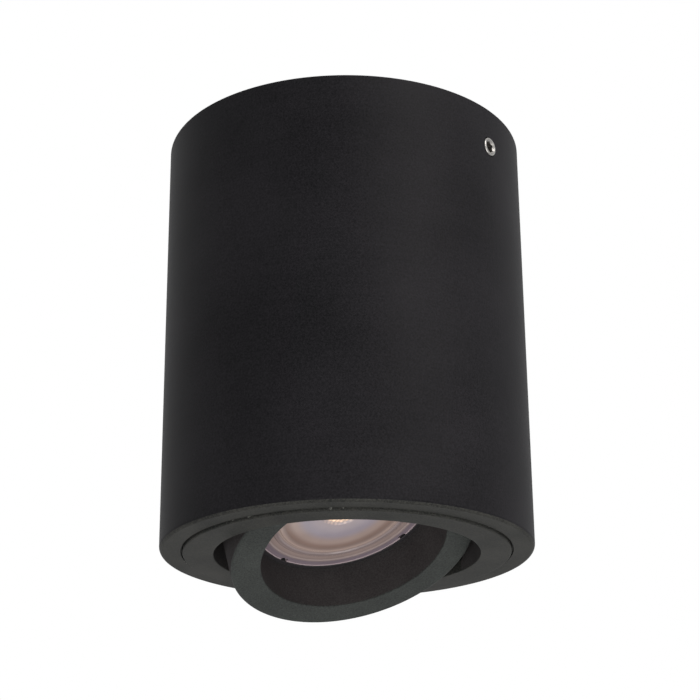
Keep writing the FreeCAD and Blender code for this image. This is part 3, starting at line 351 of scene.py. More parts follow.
@dataclass(frozen=True)
class LensFinish:
    """Moulded optical acrylic: honeycomb core, smooth flanks and ribbed zones, tinted by the chip behind,
    with a painted glow in the core and painted shade and highlights in its bands.
    """

    name: str = "moulded_acrylic_optic_painted_glow"
    # colour by distance from the lens axis, in mm: partly the acrylic's tint, partly painted shade and
    # highlights along the ridges, with a painted highlight at the edge
    zones: tuple[tuple[float, str], ...] = (
        (0.0, "#ffe2c6"), (4.4, "#d8bfae"), (5.8, "#968b90"), (10.0, "#8d858f"), (13.0, "#978681"),
        (15.0, "#826e68"), (15.7, "#7d6c67"), (16.9, "#a08e88"), (18.2, "#7b6e6f"), (19.6, "#8c7c79"),
        (20.8, "#857674"), (21.6, "#736871"), (22.7, "#7a6e77"), (23.1, "#a99a9f"),
    )
    outer_mm: float = 24.0
    # painted glow on the dots, brightest at their middle, fading out at the core's edge
    core_mm: float = 5.8
    fade_inside_mm: float = 1.6
    fade_outside_mm: float = 0.4
    dot_mm: float = 1.15
    dot_scatter: float = 0.15
    dot_levels: tuple[float, float] = (0.1, 0.55)
    dot_painted_glow: tuple[float, float] = (0.85, 0.0)
    dot_depth_mm: float = 0.15
    dot_strength: float = 0.6
    painted_glow_colour: str = "#ffd0a2"
    haze_mm: float = 8.0
    haze: tuple[float, float] = (0.9, 1.14)
    roughness: float = 0.16
    ior: float = 1.49

    def material(self) -> bpy.types.Material:
        """Build the lens material.

        Returns:
            The material, which reads the distance from the lamp's axis.
        """
        made = bpy.data.materials.new(self.name)
        tree = empty_tree(made)
        place = add_node(tree, "ShaderNodeTexCoord").outputs["Object"]
        back = HEAD_PLACE.inverted()
        turned = {"Vector": place, "Location": back.to_translation(), "Rotation": back.to_euler()}
        flat, radius = around_axis(tree, add_node(tree, "ShaderNodeMapping", turned).outputs["Vector"])
        haze = ranged(tree, noise(tree, place, per_metre(self.haze_mm), 3.0), (0.0, 1.0), self.haze)
        tint = self.tint(tree, radius)
        tone = add_node(tree, "ShaderNodeVectorMath", {0: tint, "Scale": haze}, operation="SCALE")
        painted_glow = self.dots(tree, flat, radius)
        bump = add_node(tree, "ShaderNodeBump", {
            "Height": painted_glow, "Distance": self.dot_depth_mm * MM, "Strength": self.dot_strength})
        shader = add_node(tree, "ShaderNodeBsdfPrincipled", {
            "Base Color": tone.outputs["Vector"], "Roughness": self.roughness, "IOR": self.ior,
            "Emission Color": linear(self.painted_glow_colour), "Emission Strength": painted_glow,
            "Normal": bump.outputs["Normal"]})
        add_node(tree, "ShaderNodeOutputMaterial", {"Surface": shader.outputs["BSDF"]})
        return made

    def tint(self, tree: Tree, radius: Socket) -> Socket:
        """Colour the lens by its zones, which carry painted shade and highlights.

        Args:
            tree: The node tree.
            radius: Distance from the lens axis in metres.

        Returns:
            The colour.
        """
        share = worked_out(tree, "MULTIPLY", radius, 1 / (self.outer_mm * MM))
        ramp = add_node(tree, "ShaderNodeValToRGB", {"Fac": share})
        ramp.color_ramp.interpolation = "EASE"
        while len(ramp.color_ramp.elements) < len(self.zones):
            ramp.color_ramp.elements.new(0.5)
        for element, (distance, colour) in zip(ramp.color_ramp.elements, self.zones):
            element.position = distance / self.outer_mm
            element.color = linear(colour)
        return ramp.outputs["Color"]

    def dots(self, tree: Tree, flat: Socket, radius: Socket) -> Socket:
        """Make the honeycomb of dots in the core that glow with painted light.

        Args:
            tree: The node tree.
            flat: Place in the lens's plane.
            radius: Distance from the lens axis in metres.

        Returns:
            How much painted glow each place gets.
        """
        cells = add_node(tree, "ShaderNodeTexVoronoi", {
            "Vector": flat, "Scale": per_metre(self.dot_mm), "Randomness": self.dot_scatter})
        centre = ranged(tree, cells.outputs["Distance"], self.dot_levels, self.dot_painted_glow)
        edge = ((self.core_mm - self.fade_inside_mm) * MM, (self.core_mm + self.fade_outside_mm) * MM)
        return worked_out(tree, "MULTIPLY", centre, ranged(tree, radius, edge, (1.0, 0.0)))


class Finishes:
    """Every finish of the spotlight, named for what the real one is."""

    # polyester powder coat, fine matt texture, over a turned casting: faint rings show through it
    housing = Finish("matt_powder_coat_housing", "#0c0c0e", "#201f22", 0.56, specular=0.055,
                     texture=Texture.TURNED_COAT, grain_mm=0.45, grain_depth_mm=0.03, cloud_mm=30.0,
                     contrast=1.1)
    # the same coat on the lip and the rings in lighter tones: painted light from below on the faces that look
    # down; the tilting ring's greener tone is partly its own paint
    ring = Finish("matt_powder_coat_painted_lit_underside", "#212222", "#3a3a38", 0.5, specular=0.022,
                  texture=Texture.POWDER_COAT, grain_mm=0.42, grain_depth_mm=0.01, cloud_share=0.3,
                  contrast=1.5, chipped_mm=(42.0, 42.75))
    lamp_ring = Finish("matt_powder_coat_lamp_ring_partly_painted_lit", "#282a2a", "#3e4140", 0.52, specular=0.04,
                       texture=Texture.POWDER_COAT, grain_mm=0.42, grain_depth_mm=0.025, cloud_share=0.3,
                       contrast=1.1)
    # dull paint in the bores, against glare, and a wash inside the tube; both are lighter than black: partly
    # their own grey, partly painted light that lifts the shade in these recesses
    bore = Finish("matt_bore_paint_with_painted_fill", "#302e2f", "#434142", 0.8, specular=0.03, texture=Texture.POWDER_COAT,
                  grain_mm=0.42, contrast=1.1)
    inside = Finish("cast_aluminium_wash_with_painted_fill", "#565556", "#676667", 0.8, specular=0.2,
                    texture=Texture.POWDER_COAT, grain_mm=0.9)
    # metals: plated and oxidised steel, brass, tinned copper, cast aluminium
    zinc = Finish("bright_zinc_plate", "#817f7d", "#a5a3a0", 0.3, metallic=1.0, texture=Texture.TURNED,
                  grain_mm=0.2, grain_depth_mm=0.005)
    zinc_sheet = Finish("zinc_plated_sheet", "#8f918f", "#b0b2b0", 0.38, metallic=1.0,
                        texture=Texture.ROLLED, grain_mm=0.4, grain_depth_mm=0.006)
    spring_steel = Finish("rolled_spring_steel", "#7d7f82", "#9a9c9f", 0.3, metallic=1.0,
                          texture=Texture.ROLLED, grain_mm=0.3, grain_depth_mm=0.005)
    black_oxide = Finish("black_oxide_steel", "#1b1b1d", "#29292b", 0.4, metallic=0.6,
                         texture=Texture.TURNED, grain_mm=0.25, grain_depth_mm=0.005)
    brass = Finish("turned_brass", "#b98f45", "#d3ab60", 0.28, metallic=1.0, texture=Texture.TURNED,
                   grain_mm=0.25, grain_depth_mm=0.006)
    copper = Finish("tinned_copper", "#a5a29b", "#c3c0b9", 0.34, metallic=1.0, texture=Texture.ROLLED,
                    grain_mm=0.3, grain_depth_mm=0.006)
    aluminium = Finish("cast_lamp_aluminium", "#b4b5b6", "#cfd0d1", 0.42, metallic=0.9,
                       texture=Texture.POWDER_COAT, grain_mm=0.5)
    # mouldings and boards
    lamp_black = Finish("black_polycarbonate", "#232224", "#2e2c2f", 0.42, specular=0.35)
    lamp_white = Finish("white_polycarbonate", "#dedede", "#ececec", 0.4)
    rubber = Finish("black_rubber", "#1a1a1a", "#232323", 0.75, specular=0.25)
    polyamide = Finish("natural_polyamide", "#d9d6c8", "#e6e3d7", 0.5)
    nylon = Finish("white_nylon", "#dcdad2", "#e9e7e0", 0.5)
    solder_mask = Finish("white_solder_mask", "#e2e2de", "#efefeb", 0.35)
    epoxy = Finish("green_glass_epoxy", "#12482a", "#1c5c37", 0.35)
    phosphor = Finish("yellow_phosphor_silicone", "#e0b23c", "#efc659", 0.4)
    ceramic = Finish("unglazed_steatite", "#d8d1c2", "#e7e1d4", 0.62, grain_mm=0.35)
    # sleeves of the leads
    brown_lead = Finish("brown_silicone", "#4b2c1c", "#5c3826", 0.5)
    blue_lead = Finish("blue_silicone", "#27508f", "#3361a6", 0.5)
    green_lead = Finish("green_silicone", "#5f8f2b", "#74a63c", 0.5)


# -------------------- meshes
def add_object(name: str, data: bpy.types.ID) -> bpy.types.Object:
    """Make an object and put it into the scene.

    Args:
        name: The object's name.
        data: Its mesh, curve, camera or light.

    Returns:
        The object.
    """
    made = bpy.data.objects.new(name, data)
    bpy.context.scene.collection.objects.link(made)
    return made


def as_mesh(bm: BMesh, name: str) -> bpy.types.Mesh:
    """Turn a bmesh into a mesh.

    Args:
        bm: The bmesh, which is freed.
        name: The mesh's name.

    Returns:
        The mesh.
    """
    mesh = bpy.data.meshes.new(name)
    bm.to_mesh(mesh)
    bm.free()
    return mesh


def standing(middle: Vector, direction: Vector) -> Matrix:
    """Place an upright thing along a direction.

    Args:
        middle: Where its middle goes, in metres.
        direction: Where its Z axis goes.

    Returns:
        The placement.
    """
    return Matrix.Translation(middle) @ direction.to_track_quat("Z", "Y").to_matrix().to_4x4()


def bevel(bm: BMesh, edges: list[bmesh.types.BMEdge], rounding: float, segments: int = 3) -> None:
    """Round edges of a mesh.

    Args:
        bm: The mesh.
        edges: The edges.
        rounding: Their radius in mm.
        segments: Faces across the rounding.
    """
    bmesh.ops.bevel(bm, geom=edges, offset=rounding * MM, offset_type="OFFSET", segments=segments,
                    profile=0.5, affect="EDGES", material=-1)


def lathe(bm: BMesh, profile: Sequence[tuple[float, float]], closed: bool = True,
          steps: int = ROUND_STEPS) -> None:
    """Spin a profile about the Z axis.

    Args:
        bm: The mesh to add to.
        profile: (radius, height) of each corner in mm.
        closed: Whether the profile's ends join.
        steps: Faces around the axis.
    """
    before = set(bm.verts)
    points = [bm.verts.new((r * MM, 0.0, z * MM)) for r, z in profile]
    edges = [bm.edges.new(pair) for pair in zip(points, points[1:])]
    if closed:
        edges.append(bm.edges.new((points[-1], points[0])))
    bmesh.ops.spin(bm, geom=points + edges, cent=(0, 0, 0), axis=(0, 0, 1), angle=FULL_TURN, steps=steps,
                   use_merge=True, use_duplicate=False)
    fresh = [v for v in bm.verts if v not in before]
    bmesh.ops.remove_doubles(bm, verts=fresh, dist=SAME_PLACE)
    fresh = [v for v in bm.verts if v not in before]
    bmesh.ops.recalc_face_normals(bm, faces=list({f for v in fresh for f in v.link_faces}))


def round_rings(bm: BMesh, rings: Iterable[tuple[float, float, float]], segments: int = 4) -> None:
    """Round circular edges of a spun mesh.

    Args:
        bm: The spun mesh.
        rings: (radius, height, rounding) of each ring in mm.
        segments: Faces across a rounding.
    """
    for radius, height, rounding in rings:
        chosen = [e for e in bm.edges if all(abs(math.hypot(v.co.x, v.co.y) - radius * MM) < ON_RING
                                             and abs(v.co.z - height * MM) < ON_RING for v in e.verts)]
        bevel(bm, chosen, rounding, segments)


def block(bm: BMesh, size_mm: Sequence[float], centre_mm: Sequence[float],
          rounding: float = 0.3) -> None:
    """Add a box with rounded edges.

    Args:
        bm: The mesh to add to.
        size_mm: Length along each axis.
        centre_mm: The box's middle.
        rounding: Edge radius in mm.
    """
    place = Matrix.Translation(Vector(centre_mm) * MM) @ Matrix.Diagonal((*(s * MM for s in size_mm), 1.0))
    made = bmesh.ops.create_cube(bm, size=1.0, matrix=place)
    bevel(bm, list({e for v in made["verts"] for e in v.link_edges}), rounding)


def bar(bm: BMesh, radius: float, length: float, foot: Sequence[float], along: Vector,
        sides: int = BAR_SIDES, rounding: float = 0.0) -> None:
    """Add a round or many-sided bar.

    Args:
        bm: The mesh to add to.
        radius: Corner radius in mm.
        length: Length in mm.
        foot: Where the bar starts, in mm.
        along: The bar's direction.
        sides: Number of sides.
        rounding: Radius of the far rim in mm.
    """
    direction = along.normalized()
    middle = Vector(foot) * MM + direction * length * MM / 2
    made = bmesh.ops.create_cone(bm, cap_ends=True, cap_tris=False, segments=sides, radius1=radius * MM,
                                 radius2=radius * MM, depth=length * MM, matrix=standing(middle, direction))
    if rounding:
        nearly_half = 0.49 * length * MM
        far = [e for e in {e for v in made["verts"] for e in v.link_edges}
               if all((v.co - middle).dot(direction) > nearly_half for v in e.verts)]
        bevel(bm, far, rounding)


def cut(target: BMesh, tool: BMesh) -> BMesh:
    """Cut one closed mesh out of another.

    Args:
        target: The mesh that is cut.
        tool: The mesh that is taken away.

    Returns:
        The cut mesh; both inputs are freed.
    """
    body = add_object("cut_target", as_mesh(target, "cut_target"))
    cutter = add_object("cut_tool", as_mesh(tool, "cut_tool"))
    modifier = body.modifiers.new("cut", "BOOLEAN")
    modifier.operation = "DIFFERENCE"
    modifier.solver = "EXACT"
    modifier.object = cutter
    made = bmesh.new()
    made.from_object(body, bpy.context.evaluated_depsgraph_get())
    for thing in (body, cutter):
        mesh = thing.data
        bpy.data.objects.remove(thing)
        bpy.data.meshes.remove(mesh)
    return made


@dataclass
class Piece:
    """A mesh piece of the spotlight that rides on one CAD body, or stays where it is built when it spans two.
    """

    name: str
    body: str
    slot: str
    finishes: tuple
    stands_for: tuple[str, ...] = ()
    place: Matrix = field(default_factory=lambda: Matrix.Identity(4))
    far_body: str = ""
    bend_span: tuple[Sequence[float], Sequence[float]] = ((0, 0, 0), (0, 0, 0))

    def finish(self, bm: BMesh, sharp_degrees: float = 35.0) -> bpy.types.Object:
        """Turn the bmesh into a placed, dressed object.

        Args:
            bm: The piece's mesh in its own upright pose.
            sharp_degrees: Edges that turn more than this stay crisp.

        Returns:
            The finished object.
        """
        bmesh.ops.transform(bm, matrix=self.place, verts=bm.verts)
        mesh = as_mesh(bm, self.name)
        mesh.shade_smooth()
        mesh.set_sharp_from_angle(angle=math.radians(sharp_degrees))
        made = add_object(self.name, mesh)
        for finish in self.finishes:
            mesh.materials.append(finish.material())
        weighted = made.modifiers.new("even_shading", "WEIGHTED_NORMAL")
        weighted.keep_sharp = True
        if self.far_body:
            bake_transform(made)
        else:
            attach(made, self.body)
        if self.stands_for:
            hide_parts(*self.stands_for)
        log.info("%s: %d faces on %s", self.name, len(mesh.polygons), self.body)
        return made


# -------------------- sub-assemblies
@dataclass
class Housing:
    """The tube and its grub screws, in mm."""

    radius: float = 48.0
    height: float = 112.5
    wall: float = 3.0
    lip_width: float = 5.5
    lip_thickness: float = 2.8
    seat_width: float = 2.0
    seat_depth: float = 2.2
    seat_step: float = 0.25
    seat_step_height: float = 0.6
    foot_rounding: float = 1.1
    top_rounding: float = 0.3
    seat_rounding: float = 0.15
    wall_rounding: float = 0.2
    screw_radius: float = 2.5
    screw_level: float = -11.0
    screw_proud: float = 0.25
    screw_length: float = 6.0
    screw_rounding: float = 0.35
    screw_gap: float = 0.18
    hole_start: float = 2.0
    hole_length: float = 8.0
    key_radius: float = 1.65
    key_depth: float = 2.4
    mouth_radius: float = 1.95
    # a face this near to the inner wall is inside, and one that looks down this much is part of the foot
    inside_margin: float = 0.5
    looks_down: float = -0.4

    def tube(self) -> None:
        """Build the tube with its lip, shoulder and two screw holes."""
        outer, inner = self.radius, self.radius - self.wall
        seat = outer - self.lip_width
        shoulder = seat - self.seat_width
        floor = -self.height
        ledge = floor + self.seat_depth
        top = ledge + self.lip_thickness
        step = floor + self.seat_step_height
        bm = bmesh.new()
        lathe(bm, [(outer, 0), (inner, 0), (inner, top + inner - shoulder), (shoulder, top),
                   (shoulder, ledge), (seat - self.seat_step, ledge), (seat - self.seat_step, step),
                   (seat, step), (seat, floor), (outer, floor)])
        round_rings(bm, [(outer, floor, self.foot_rounding), (outer, 0, self.top_rounding),
                         (seat, floor, self.seat_rounding), (inner, 0, self.wall_rounding)], 6)
        holes = bmesh.new()
        for side in (1, -1):
            start = (side * (inner - self.hole_start), 0, self.screw_level)
            bar(holes, self.screw_radius + self.screw_gap, self.hole_length, start, Vector((side, 0, 0)))
        bm = cut(bm, holes)
        # inner faces take the inside coat, partly painted light that lifts the tube's shade
        for face in bm.faces:
            middle = face.calc_center_median()
            reach = math.hypot(middle.x, middle.y)
            if reach < (inner + self.inside_margin) * MM and middle.z > ledge * MM:
                face.material_index = 1
            # faces of the foot that look down take the lighter ring coat: painted light from below
            elif middle.z < (floor + self.foot_rounding) * MM and face.normal.z < self.looks_down:
                face.material_index = 2
        Piece("tube", "housing", "housing_paint", (Finishes.housing, Finishes.inside, Finishes.ring),
              ("tube_body",)).finish(bm)

    def grub_screws(self) -> None:
        """Build the two socket grub screws, bright where the plating shows."""
        bm = bmesh.new()
        keys = bmesh.new()
        mouths = bmesh.new()
        for side in (1, -1):
            out = Vector((side, 0, 0))
            end = self.radius + self.screw_proud
            foot = (side * (end - self.screw_length), 0, self.screw_level)
            bar(bm, self.screw_radius, self.screw_length, foot, out, rounding=self.screw_rounding)
            bar(keys, self.key_radius, self.key_depth + OVERRUN,
                (side * (end - self.key_depth), 0, self.screw_level), out, sides=6)
            # a cone twice as wide as the mouth, so that its middle lies in the screw's end face
            place = standing(Vector((side * end, 0, self.screw_level)) * MM, out)
            wide = 2 * self.mouth_radius * MM
            bmesh.ops.create_cone(mouths, cap_ends=True, segments=BAR_SIDES, radius1=0, radius2=wide,
                                  depth=wide, matrix=place)
        screws = cut(cut(bm, keys), mouths)
        Piece("grub_screw_pair", "housing", "screw_steel", (Finishes.zinc,), ("grub_screws",)).finish(screws)

    def build(self) -> None:
        """Build the tube and its screws."""
        self.tube()
        self.grub_screws()


@dataclass
class Grommet:
    """The rubber grommet of the plate's cable entry, in mm."""

    plate_thickness: float = 1.5
    entry_radius: float = 6.5
    bore: float = 4.0
    recess: float = 0.2
    gap: float = 0.1
    flange: float = 2.0
    wall: float = 1.2
    height: float = 4.5
    rim: float = 0.4
    lip: float = 0.3
    steps: int = 64

    def build(self) -> None:
        """Build the grommet with soft lips."""
        top = -self.recess
        waist = self.entry_radius - self.gap
        flange = self.entry_radius + self.flange
        under = -self.plate_thickness
        ledge = under - self.wall
        neck = self.bore + self.wall
        low = -self.height
        bm = bmesh.new()
        lathe(bm, [(self.bore, top), (waist, top), (waist, under), (flange, under), (flange, ledge),
                   (neck, low), (self.bore, low)], steps=self.steps)
        round_rings(bm, [(self.bore, top, self.rim), (flange, ledge, self.rim), (neck, low, self.lip),
                         (self.bore, low, self.lip)])
        Piece("entry_grommet", "housing", "grommet_rubber", (Finishes.rubber,), ("cable_grommet",)).finish(bm)


@dataclass
class FrontRing:
    """The turning disc in the mouth, with its thin collar and its two pivot ears, in mm."""

    outer: float = 42.1
    bore: float = 34.15
    face_level: float = -113.1
    thickness: float = 2.8
    outer_edge: float = 0.42
    bore_edge: float = 0.25
    back_edge: float = 0.2
    collar_wall: float = 0.25
    collar_height: float = 8.3
    # gaps in the collar at the two pivots
    pivot_window: float = 9.4
    window_lift: float = 0.2
    ear_near: float = 34.45
    ear_thickness: float = 2.6
    ear_width: float = 12.0
    ear_rounding: float = 0.6

    def build(self) -> None:
        """Build the bezel, its collar and the ears that stand on its back."""
        top = self.face_level + self.thickness
        collar = self.bore + self.collar_wall
        bm = bmesh.new()
        lathe(bm, [(self.bore, self.face_level), (self.outer, self.face_level), (self.outer, top),
                   (collar, top), (collar, top + self.collar_height), (self.bore, top + self.collar_height)])
        round_rings(bm, [(self.outer, self.face_level, self.outer_edge),
                         (self.bore, self.face_level, self.bore_edge), (self.outer, top, self.back_edge)], 3)
        window = bmesh.new()
        block(window, (self.pivot_window, 2 * self.outer, 2 * self.collar_height),
              (0, 0, top + self.collar_height + self.window_lift))
        bm = cut(bm, window)
        # the collar takes the lighter bore paint: partly painted light that lifts its shade
        for face in bm.faces:
            if face.calc_center_median().z > top * MM:
                face.material_index = 1
        ear_top = PIVOT.z / MM + self.ear_width / 2
        for side in (1, -1):
            across = side * (self.ear_near + self.ear_thickness / 2)
            block(bm, (self.ear_width, self.ear_thickness, ear_top - top), (0, across, (ear_top + top) / 2),
                  self.ear_rounding)
        # the bezel takes the lighter ring coat: painted light from below on its face
        Piece("bezel", "front_ring", "ring_paint", (Finishes.ring, Finishes.bore), ("front_ring",),
              RING_PLACE).finish(bm)


@dataclass
class LampRing:
    """The tilting ring: flat face, deep bore, ledge, skirt and pivot bosses, in mm."""

    outer: float = 32.1
    bore: float = 24.4
    pivot_depth: float = 8.5
    height: float = 16.0
    wall: float = 2.2
    face_thickness: float = 3.0
    face_edge: float = 0.8
    small_edge: float = 0.3
    lens_depth: float = 12.4
    pocket: float = 25.3
    barrel_wall: float = 2.0
    barrel_height: float = 20.5
    boss_width: float = 9.0
    boss_flat: float = 32.6
    boss_root: float = 1.0
    boss_rounding: float = 0.4
    # a face within these distances of the bore or of the outer wall gets the bore's paint
    bore_margin: float = 0.08
    wall_margin: float = 0.05

    def build(self) -> None:
        """Build the ring, with its bore and outer wall in the bore's paint, which is partly painted light."""
        face = -self.pivot_depth
        barrel = self.pocket + self.barrel_wall
        skirt = self.outer - self.wall
        under = face + self.face_thickness
        bm = bmesh.new()
        lathe(bm, [(self.bore, face), (self.outer, face), (self.outer, face + self.height),
                   (skirt, face + self.height), (skirt, under), (barrel, under),
                   (barrel, face + self.barrel_height), (self.pocket, face + self.barrel_height),
                   (self.pocket, face + self.lens_depth), (self.bore, face + self.lens_depth)])
        round_rings(bm, [(self.outer, face, self.face_edge), (self.bore, face, self.small_edge),
                         (self.outer, face + self.height, self.small_edge)], 5)
        for poly in bm.faces:
            middle = poly.calc_center_median()
            reach = math.hypot(middle.x, middle.y)
            in_bore = reach < (self.bore + self.bore_margin) * MM and middle.z > (face + self.small_edge) * MM
            if in_bore or reach > (self.outer - self.wall_margin) * MM:
                poly.material_index = 1
        for side in (1, -1):
            depth = self.boss_flat - barrel + self.boss_root
            block(bm, (self.boss_width, depth, self.boss_width), (0, side * (self.boss_flat - depth / 2), 0),
                  self.boss_rounding)
        # the tilting ring takes a lighter coat: partly its own paint, partly painted light from below
        Piece("tilting_ring", "lamp_head", "ring_paint", (Finishes.lamp_ring, Finishes.bore), ("lamp_ring",),
              HEAD_PLACE).finish(bm)


@dataclass
class Lamp:
    """The visible front of the lamp, its stepped lens and dark rim, in mm."""

    level: float = 3.9
    radius: float = 23.25
    edge: float = 1.6
    edge_rounding: float = 0.15
    # (distance from the axis, height) of the front: the flat core, the hollow flank and the shallow steps
    front: tuple[tuple[float, float], ...] = (
        (0, 0.9), (5.5, 0.8), (6.0, 0.45), (9.0, 0.2), (14.9, 0.1), (15.3, 0.15), (15.8, 0.15), (16.2, 0.05),
        (16.9, 0.05), (17.2, 0.25), (17.8, 0.25), (18.2, 0.02), (18.9, 0.02), (19.2, 0.2), (20.6, 0.2),
        (21.0, 0.0), (22.6, 0.0), (22.8, 0.12),
    )
    flange_share: float = 0.9
    height: float = 11.5
    foot: float = 8.5
    pocket: float = 6.0
    pocket_depth: float = 6.2
    pocket_taper: float = 1.3
    notch_azimuth: float = 12.7
    notch_width: float = 2.0
    notch_depth: float = 1.1
    crisp_degrees: float = 25.0
    dot_reach: float = 4.9
    dot_pitch: float = 1.15
    dot_level: float = 0.95
    dot_share: float = 0.52
    dot_flatness: float = 0.6
    rim_radius: float = 25.0
    rim_height: float = 6.0
    rim_gap: float = 0.1
    rim_lip: float = 1.3
    rim_roundings: tuple[float, float] = (0.2, 0.3)

    def lens(self) -> None:
        """Build the lens with its ring steps, core dots and rim notches."""
        z = self.level
        r = self.radius
        pocket_floor = self.height - self.pocket_depth
        edge = ((r - self.edge_rounding, 0.0), (r, self.edge_rounding))
        back = ((r, self.edge), (self.flange_share * r, self.edge), (self.foot, self.height),
                (self.pocket, self.height), (self.pocket - self.pocket_taper, pocket_floor),
                (0, pocket_floor))
        bm = bmesh.new()
        lathe(bm, [(a, z + b) for a, b in self.front + edge + back], closed=False)
        bm = cut(bm, self.notches())
        self.dots(bm)
        Piece("optic", "lamp_head", "lens_plastic", (LensFinish(),), ("lamp_lens",),
              HEAD_PLACE).finish(bm, self.crisp_degrees)

    def notches(self) -> BMesh:
        """Make the tool that cuts the four notches into the lens's edge.

        Returns:
            Four blocks.
        """
        tool = bmesh.new()
        for quarter in range(4):
            turn = Matrix.Rotation(math.radians(self.notch_azimuth + 90 * quarter), 3, "Z")
            single = bmesh.new()
            block(single, (2 * self.notch_depth, self.notch_width, 2 * self.edge + OVERRUN),
                  (self.radius, 0, self.level + self.edge / 2))
            bmesh.ops.rotate(single, cent=(0, 0, 0), matrix=turn, verts=single.verts)
            mesh = as_mesh(single, "notch")
            tool.from_mesh(mesh)
            bpy.data.meshes.remove(mesh)
        return tool

    def dots(self, bm: BMesh) -> None:
        """Set a honeycomb of small domes into the lens's core.

        Args:
            bm: The lens mesh, which gains the domes.
        """
        pitch = self.dot_pitch
        rows = int(self.dot_reach / pitch) + 1
        flatten = Matrix.Diagonal((1, 1, self.dot_flatness, 1))
        for row in range(-rows, rows + 1):
            for column in range(-rows, rows + 1):
                x = (column + 0.5 * (row % 2)) * pitch
                y = row * pitch * math.sqrt(3) / 2
                if math.hypot(x, y) > self.dot_reach:
                    continue
                place = Matrix.Translation(Vector((x, y, self.level + self.dot_level)) * MM) @ flatten
                bmesh.ops.create_uvsphere(bm, u_segments=8, v_segments=6, matrix=place,
                                          radius=self.dot_share * pitch * MM)

    def rim(self) -> None:
        """Build the dark rim round the lens."""
        z = self.level
        inner = self.radius + self.rim_gap
        lip = inner - self.rim_lip
        ledge = z + (self.edge + self.rim_gap)
        top = z + self.rim_height
        bm = bmesh.new()
        lathe(bm, [(inner, z), (self.rim_radius, z), (self.rim_radius, top), (lip, top), (lip, ledge),
                   (inner, ledge)])
        inside, outside = self.rim_roundings
        round_rings(bm, [(inner, z, inside), (self.rim_radius, z, outside)], 3)
        Piece("lamp_front_rim", "lamp_head", "lamp_black", (Finishes.lamp_black,), ("lamp_rim",),
              HEAD_PLACE).finish(bm)

    def build(self) -> None:
        """Build the lamp's visible pieces."""
        self.lens()
        self.rim()


@dataclass(frozen=True)
class Route:
    """The way of one lead, in mm, with the two points between which it bends."""

    name: str
    slot: str
    colour: Finish
    points: tuple[tuple[float, float, float], ...]
    body: str = "housing"
    far_body: str = ""
    bend: tuple[int, int] = (0, 0)


@dataclass
class Leads:
    """Silicone leads between the terminals, the earth screw and the lamp holder."""

    diameter: float = 1.9
    steps_along: int = 14
    steps_around: int = 6
    routes: tuple[Route, ...] = (
        Route("earth_lead", "lead_green", Finishes.green_lead,
              ((9.0, -22.0, -8.9), (9.0, -14.0, -8.9), (15.5, -4.0, -8.0), (16.09, 12.0, -3.35),
               (10.24, 17.45, -3.3), (6.58, 20.86, -3.3))),
        Route("live_upper_lead", "lead_brown", Finishes.brown_lead,
              ((-9.0, -22.0, -8.9), (-9.0, -14.0, -8.9), (-3.29, -6.97, -10.01), (-1.7, -1.87, -14.0),
               (-1.88, -1.49, -20.75)), "housing", "front_ring", (3, 4)),
        Route("neutral_upper_lead", "lead_blue", Finishes.blue_lead,
              ((0.0, -22.0, -8.9), (0.0, -14.0, -8.9), (0.59, -6.97, -10.01), (1.7, -0.51, -14.0),
               (0.35, 0.81, -20.75)), "housing", "front_ring", (3, 4)),
        Route("live_lower_lead", "lead_brown", Finishes.brown_lead,
              ((-1.88, -1.49, -20.75), (-2.05, -1.11, -27.5), (-7.56, 0.66, -31.0), (-21.55, 5.18, -24.0),
               (-31.21, 7.46, -31.38), (-25.3, 5.55, -45.59)), "front_ring", "lamp_head", (1, 4)),
        Route("neutral_lower_lead", "lead_blue", Finishes.blue_lead,
              ((0.35, 0.81, -20.75), (-1.01, 2.13, -27.5), (-6.52, 3.89, -31.0), (-20.5, 8.42, -24.0),
               (-29.67, 12.22, -31.38), (-23.76, 10.31, -45.59)), "front_ring", "lamp_head", (1, 4)),
    )

    def tube(self, points: Sequence[Sequence[float]]) -> BMesh:
        """Draw one round lead along a smooth line through its route.

        Args:
            points: The route's control points in mm.

        Returns:
            The closed tube.
        """
        line = bpy.data.curves.new("lead_line", "CURVE")
        line.dimensions = "3D"
        spline = line.splines.new("NURBS")
        spline.points.add(len(points) - 1)
        for control, point in zip(spline.points, points):
            control.co = (*(Vector(point) * MM), 1.0)
        spline.order_u = 3
        spline.use_endpoint_u = True
        spline.resolution_u = self.steps_along
        line.bevel_depth = self.diameter * MM / 2
        line.bevel_resolution = self.steps_around
        line.use_fill_caps = True
        drawn = add_object("lead_line", line)
        mesh = bpy.data.meshes.new_from_object(drawn.evaluated_get(bpy.context.evaluated_depsgraph_get()))
        bm = bmesh.new()
        bm.from_mesh(mesh)
        bmesh.ops.remove_doubles(bm, verts=bm.verts, dist=SAME_PLACE)
        bmesh.ops.recalc_face_normals(bm, faces=bm.faces)
        bpy.data.objects.remove(drawn)
        bpy.data.curves.remove(line)
        bpy.data.meshes.remove(mesh)
        return bm

    def build(self) -> None:
        """Build every lead; the lamp's leads, which span two bodies, stay where they are built."""
        for route in self.routes:
            first, last = route.bend
            Piece(f"{route.name}_sleeve", route.body, route.slot, (route.colour,), (route.name,),
                  far_body=route.far_body,
                  bend_span=(route.points[first], route.points[last])).finish(self.tube(route.points))


